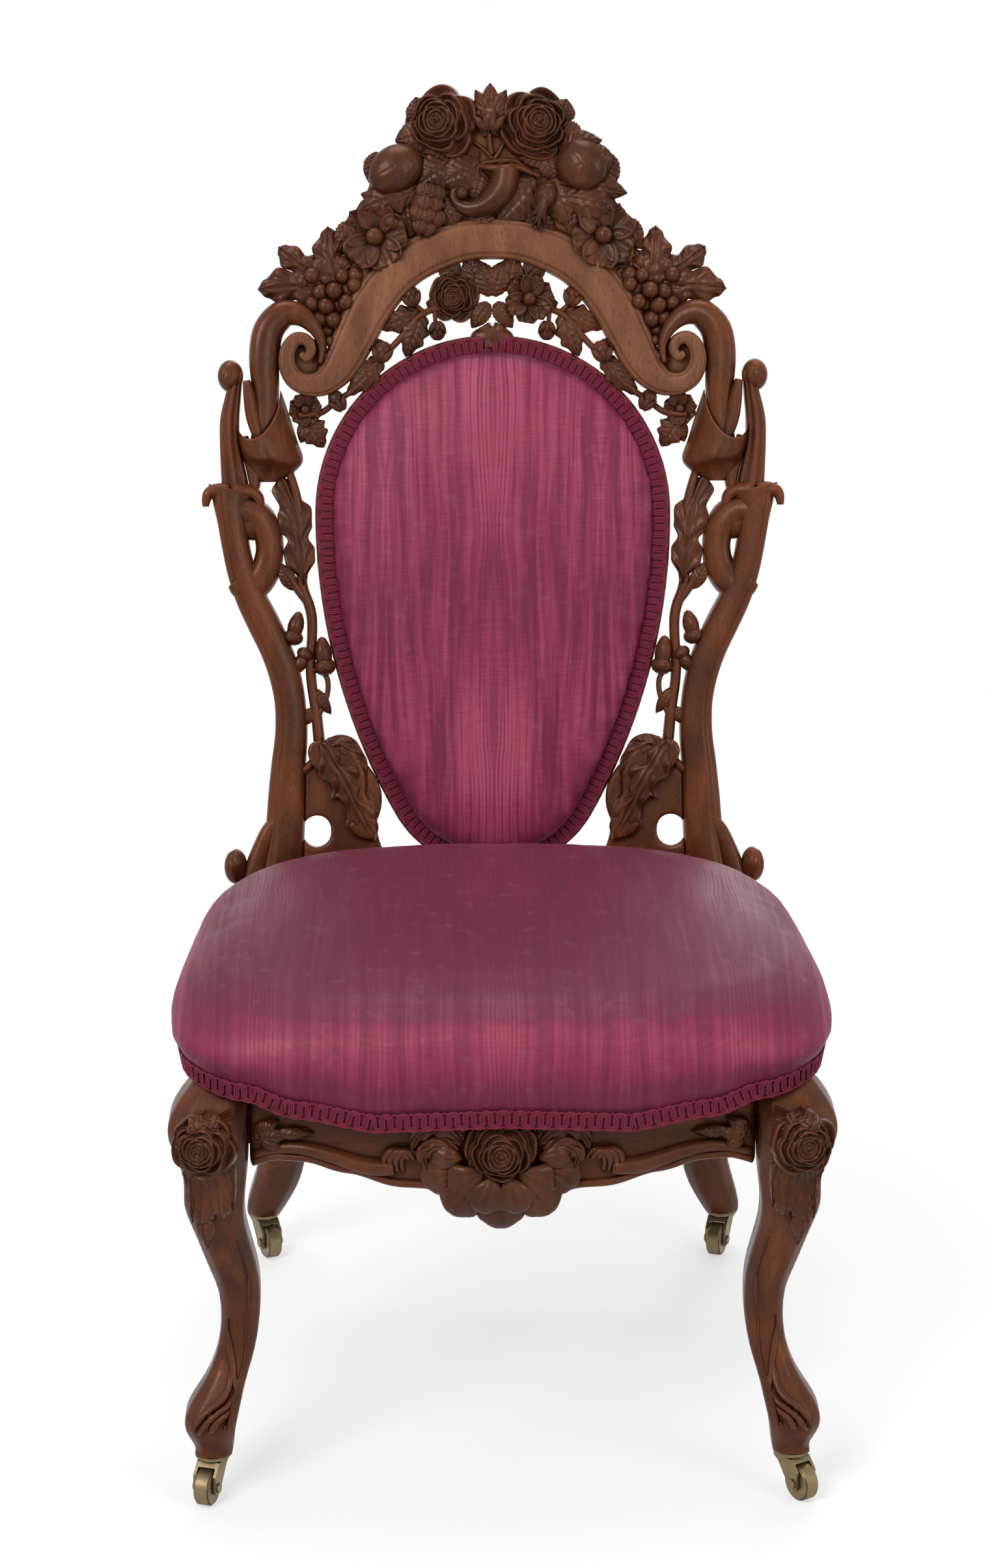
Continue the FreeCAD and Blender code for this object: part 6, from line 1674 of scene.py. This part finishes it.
# Under the seat and behind the back
# The cloth under the seat: its level, its turned-in edge and its sag
COVER_LEVEL, COVER_EDGE, COVER_SAG = 287.2, 30.0, 4.0
STRAP_LEVELS = (291.0, 289.2)
STRAP_WIDTH, STRAP_SPAN, STRAP_THICKNESS = 50.0, 95.0, 1.6
INSIDE_FRONT_Y, INSIDE_REAR_Y = -264.0, 128.0
INSIDE_DEPTH = 394.0
INSIDE_HALF_FRONT, INSIDE_HALF_REAR = 229.0, 203.0
SPRING_FOOT_Z = 294.5
SPRING_HEIGHT, SPRING_RADIUS, SPRING_WAIST, SPRING_WIRE = 86.0, 38.0, 26.0, 1.9
SPRING_TURNS, SPRING_STEPS = 6, 72


def half_inside(y):
    """Half the space between the side rails' middles, at y."""
    back = (y - INSIDE_FRONT_Y) / INSIDE_DEPTH
    return INSIDE_HALF_FRONT + (INSIDE_HALF_REAR - INSIDE_HALF_FRONT) * back


def flat_cloth(bm, front_half, rear_half, front_y, rear_y, level, thickness, middle=0.0,
               sag=0.0, cuts=8):
    """A flat cloth, straight at the front and the rear, that may sag."""
    made = bmesh.ops.create_grid(bm, x_segments=cuts, y_segments=cuts, size=1.0)
    for vert in made["verts"]:
        s, t = (vert.co.x + 1) / 2, (vert.co.y + 1) / 2
        half = front_half + (rear_half - front_half) * t
        vert.co = (middle + half * (2 * s - 1), front_y + (rear_y - front_y) * t,
                   level - sag * math.sin(math.pi * s) * math.sin(math.pi * t))
    faces = list({face for vert in made["verts"] for face in vert.link_faces})
    bmesh.ops.solidify(bm, geom=faces, thickness=thickness)


def bottom_cloth():
    """The black cloth tacked under the seat."""
    bm = bmesh.new()
    wide, narrow = (half_inside(y) - COVER_EDGE for y in (INSIDE_FRONT_Y, INSIDE_REAR_Y))
    flat_cloth(bm, wide, narrow, INSIDE_FRONT_Y, INSIDE_REAR_Y, COVER_LEVEL, 0.8,
               sag=COVER_SAG, cuts=16)
    piece = finish_piece("bottom_cloth", bm, dust_cloth,
                         replaces=("dust_cover",))


def seat_straps():
    """Three webbing straps each way, laid over one another."""
    bm = bmesh.new()
    half = STRAP_WIDTH / 2
    for step in (1, 2, 3):
        front, rear = (INSIDE_FRONT_Y + step * STRAP_SPAN + edge for edge in (-half, half))
        flat_cloth(bm, half_inside(front) - 2, half_inside(rear) - 2, front, rear,
                   STRAP_LEVELS[0], STRAP_THICKNESS)
    for step in (-1, 0, 1):
        flat_cloth(bm, half, half, INSIDE_FRONT_Y, INSIDE_REAR_Y, STRAP_LEVELS[1],
                   STRAP_THICKNESS, step * STRAP_SPAN)
    finish_piece("seat_straps", bm, webbing_cloth, replaces=("seat_webbing",))


def seat_coils():
    """Five waisted coil springs on the straps."""
    bm = bmesh.new()
    for across, along in ((-1, 1), (1, 1), (0, 2), (-1, 3), (1, 3)):
        centre = Vector((across * STRAP_SPAN, INSIDE_FRONT_Y + along * STRAP_SPAN,
                         SPRING_FOOT_Z))
        places = []
        for step in range(SPRING_STEPS + 1):
            share = step / SPRING_STEPS
            swell = (2 * share - 1) ** 2
            reach = SPRING_WAIST + (SPRING_RADIUS - SPRING_WAIST) * swell - 2
            angle = share * SPRING_TURNS * math.tau
            places.append(centre + Vector((reach * math.cos(angle), reach * math.sin(angle),
                                           share * (SPRING_HEIGHT - 6))))
        sweep(bm, places, [SPRING_WIRE] * len(places), sides=6)
    finish_piece("seat_coils", bm, dull_iron, replaces=("seat_springs",))


# Rings of the panel behind the oval: share of its outline, and place across the wood
PANEL_RINGS = [
    (0.03, -6.9), (0.15, -6.9), (0.3, -6.9), (0.45, -6.8), (0.6, -6.7), (0.75, -6.6),
    (0.9, -6.4), (1.0, -6.2), (1.0, -7.4), (0.9, -7.7), (0.75, -7.9), (0.6, -8.0),
    (0.45, -8.1), (0.3, -8.2), (0.15, -8.2), (0.03, -8.2),
]


def outside_back():
    """The silk panel that closes the back of the oval."""
    bm = bmesh.new()
    outline = egg_ring(3.5, 150)
    middle = sum(v for _, v in outline) / len(outline)
    ring_stack(bm, [[Vector((u * part, middle + (v - middle) * part, w)) for u, v in outline]
                    for part, w in PANEL_RINGS])
    lay_on_back(bm)
    piece = finish_piece("outside_back_panel", bm, pad_silk,
                         replaces=("medallion_back_cover",))


# Dressing the frame
NODE_FINISHES = {
    "left_side_rail": deep_wood, "right_side_rail": deep_wood, "corner_blocks": block_wood,
    "leg_dowels": block_wood, "corner_block_screws": dull_iron,
}


def dress_nodes():
    """Finishes for the nodes that stay as they are."""
    for name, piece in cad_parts.items():
        brass = any(word in name for word in ("caster", "wheel", "axle"))
        finish = NODE_FINISHES.get(name, caster_brass if brass else upright_wood)
        piece.data.materials.clear()
        piece.data.materials.append(finish)


# The studio
WHITE, GREY, BLACK = (1.0, 1.0, 1.0), (0.5, 0.5, 0.5), (0.0, 0.0, 0.0)
FLOOR_GLOW = (0.55, 0.55, 0.55)
FLOOR_RADIUS = 3.2
FADE_START, FADE_END = 0.75, 2.3
# Lamps: name, place, aim, size and watts
LAMPS = [
    ("key", (-1.5, -2.6, 2.6), (0.0, 0.0, 0.6), 1.5, 66.0),
    ("fill", (2.2, -2.2, 1.6), (0.0, 0.0, 0.5), 1.6, 22.0),
    ("top", (0.0, 0.4, 3.2), (0.0, 0.0, 0.4), 1.4, 26.0),
    ("rear", (0.6, 2.8, 2.0), (0.0, 0.2, 0.7), 2.0, 22.0),
]
CAMERA_PLACE = (-0.055, -3.292, 1.5)
CAMERA_TURN = (math.radians(73.4), 0.0, math.radians(-0.943))
CAMERA_SENSOR, CAMERA_LENS = 36.0, 93.93


def seen_itself(tree):
    """1 for rays that show the surface, 0 for rays that it lights."""
    rays = tree.nodes.new("ShaderNodeLightPath").outputs
    seen = maths(tree, "MAXIMUM", rays["Is Camera Ray"], rays["Is Glossy Ray"])
    return maths(tree, "MAXIMUM", seen, rays["Is Transmission Ray"])


def add_object(name, data):
    made = bpy.data.objects.new(name, data)
    bpy.context.scene.collection.objects.link(made)
    return made


def floor():
    """A pale floor that fades into the white surround."""
    bm = bmesh.new()
    bmesh.ops.create_circle(bm, cap_ends=True, segments=64, radius=FLOOR_RADIUS)
    mesh = bpy.data.meshes.new("floor")
    bm.to_mesh(mesh)
    bm.free()
    add_object("floor", mesh)
    material, tree, shader, place = new_material("floor_white")
    far = node(tree, "ShaderNodeVectorMath", {0: place}, operation="LENGTH").outputs["Value"]
    fade = spread(tree, far, FADE_START, FADE_END, smooth=True)
    glow = mixed(tree, fade, FLOOR_GLOW, WHITE)
    fill(tree, shader, {
        "Base Color": mixed(tree, fade, GREY, BLACK), "Roughness": 0.9,
        "Specular IOR Level": 0.0, "Emission Strength": 1.0,
        "Emission Color": mixed(tree, seen_itself(tree), BLACK, glow)})
    mesh.materials.append(material)


def surround():
    """A white world that lights at half its strength."""
    world = bpy.data.worlds.new("studio")
    bpy.context.scene.world = world
    world.use_nodes = True
    tree = world.node_tree
    fill(tree, tree.nodes["Background"], {
        "Color": (*WHITE, 1.0), "Strength": spread(tree, seen_itself(tree), 0.0, 1.0, 0.5)})


def lamps():
    for name, place, aim, size, power in LAMPS:
        lamp = bpy.data.lights.new(name, "AREA")
        lamp.size = size
        lamp.energy = power
        holder = add_object(name, lamp)
        holder.location = place
        direction = Vector(aim) - Vector(place)
        holder.rotation_euler = direction.to_track_quat("-Z", "Y").to_euler()


def camera():
    """The photograph's viewpoint."""
    data = bpy.data.cameras.new("camera")
    data.sensor_width = CAMERA_SENSOR
    data.lens = CAMERA_LENS
    holder = add_object("camera", data)
    holder.location = CAMERA_PLACE
    holder.rotation_euler = CAMERA_TURN
    bpy.context.scene.camera = holder


dress_nodes()
for eased_name, eased_settings in EASED_NODES.items():
    eased_copy(eased_name, *eased_settings)
crest()
hoop()
for turn_side in (-1, 1):
    for build in (stile, shoulder, post, grapes, oak_branch, bracket_leaves, leg_carving):
        build(turn_side)
for build in (garland, rail_moulding, apron, seat_cushion, back_pad, seat_gimp, pad_gimp,
              bottom_cloth, seat_straps, seat_coils, outside_back, floor, surround, lamps,
              camera):
    build()
bpy.context.scene.view_settings.view_transform = "Standard"
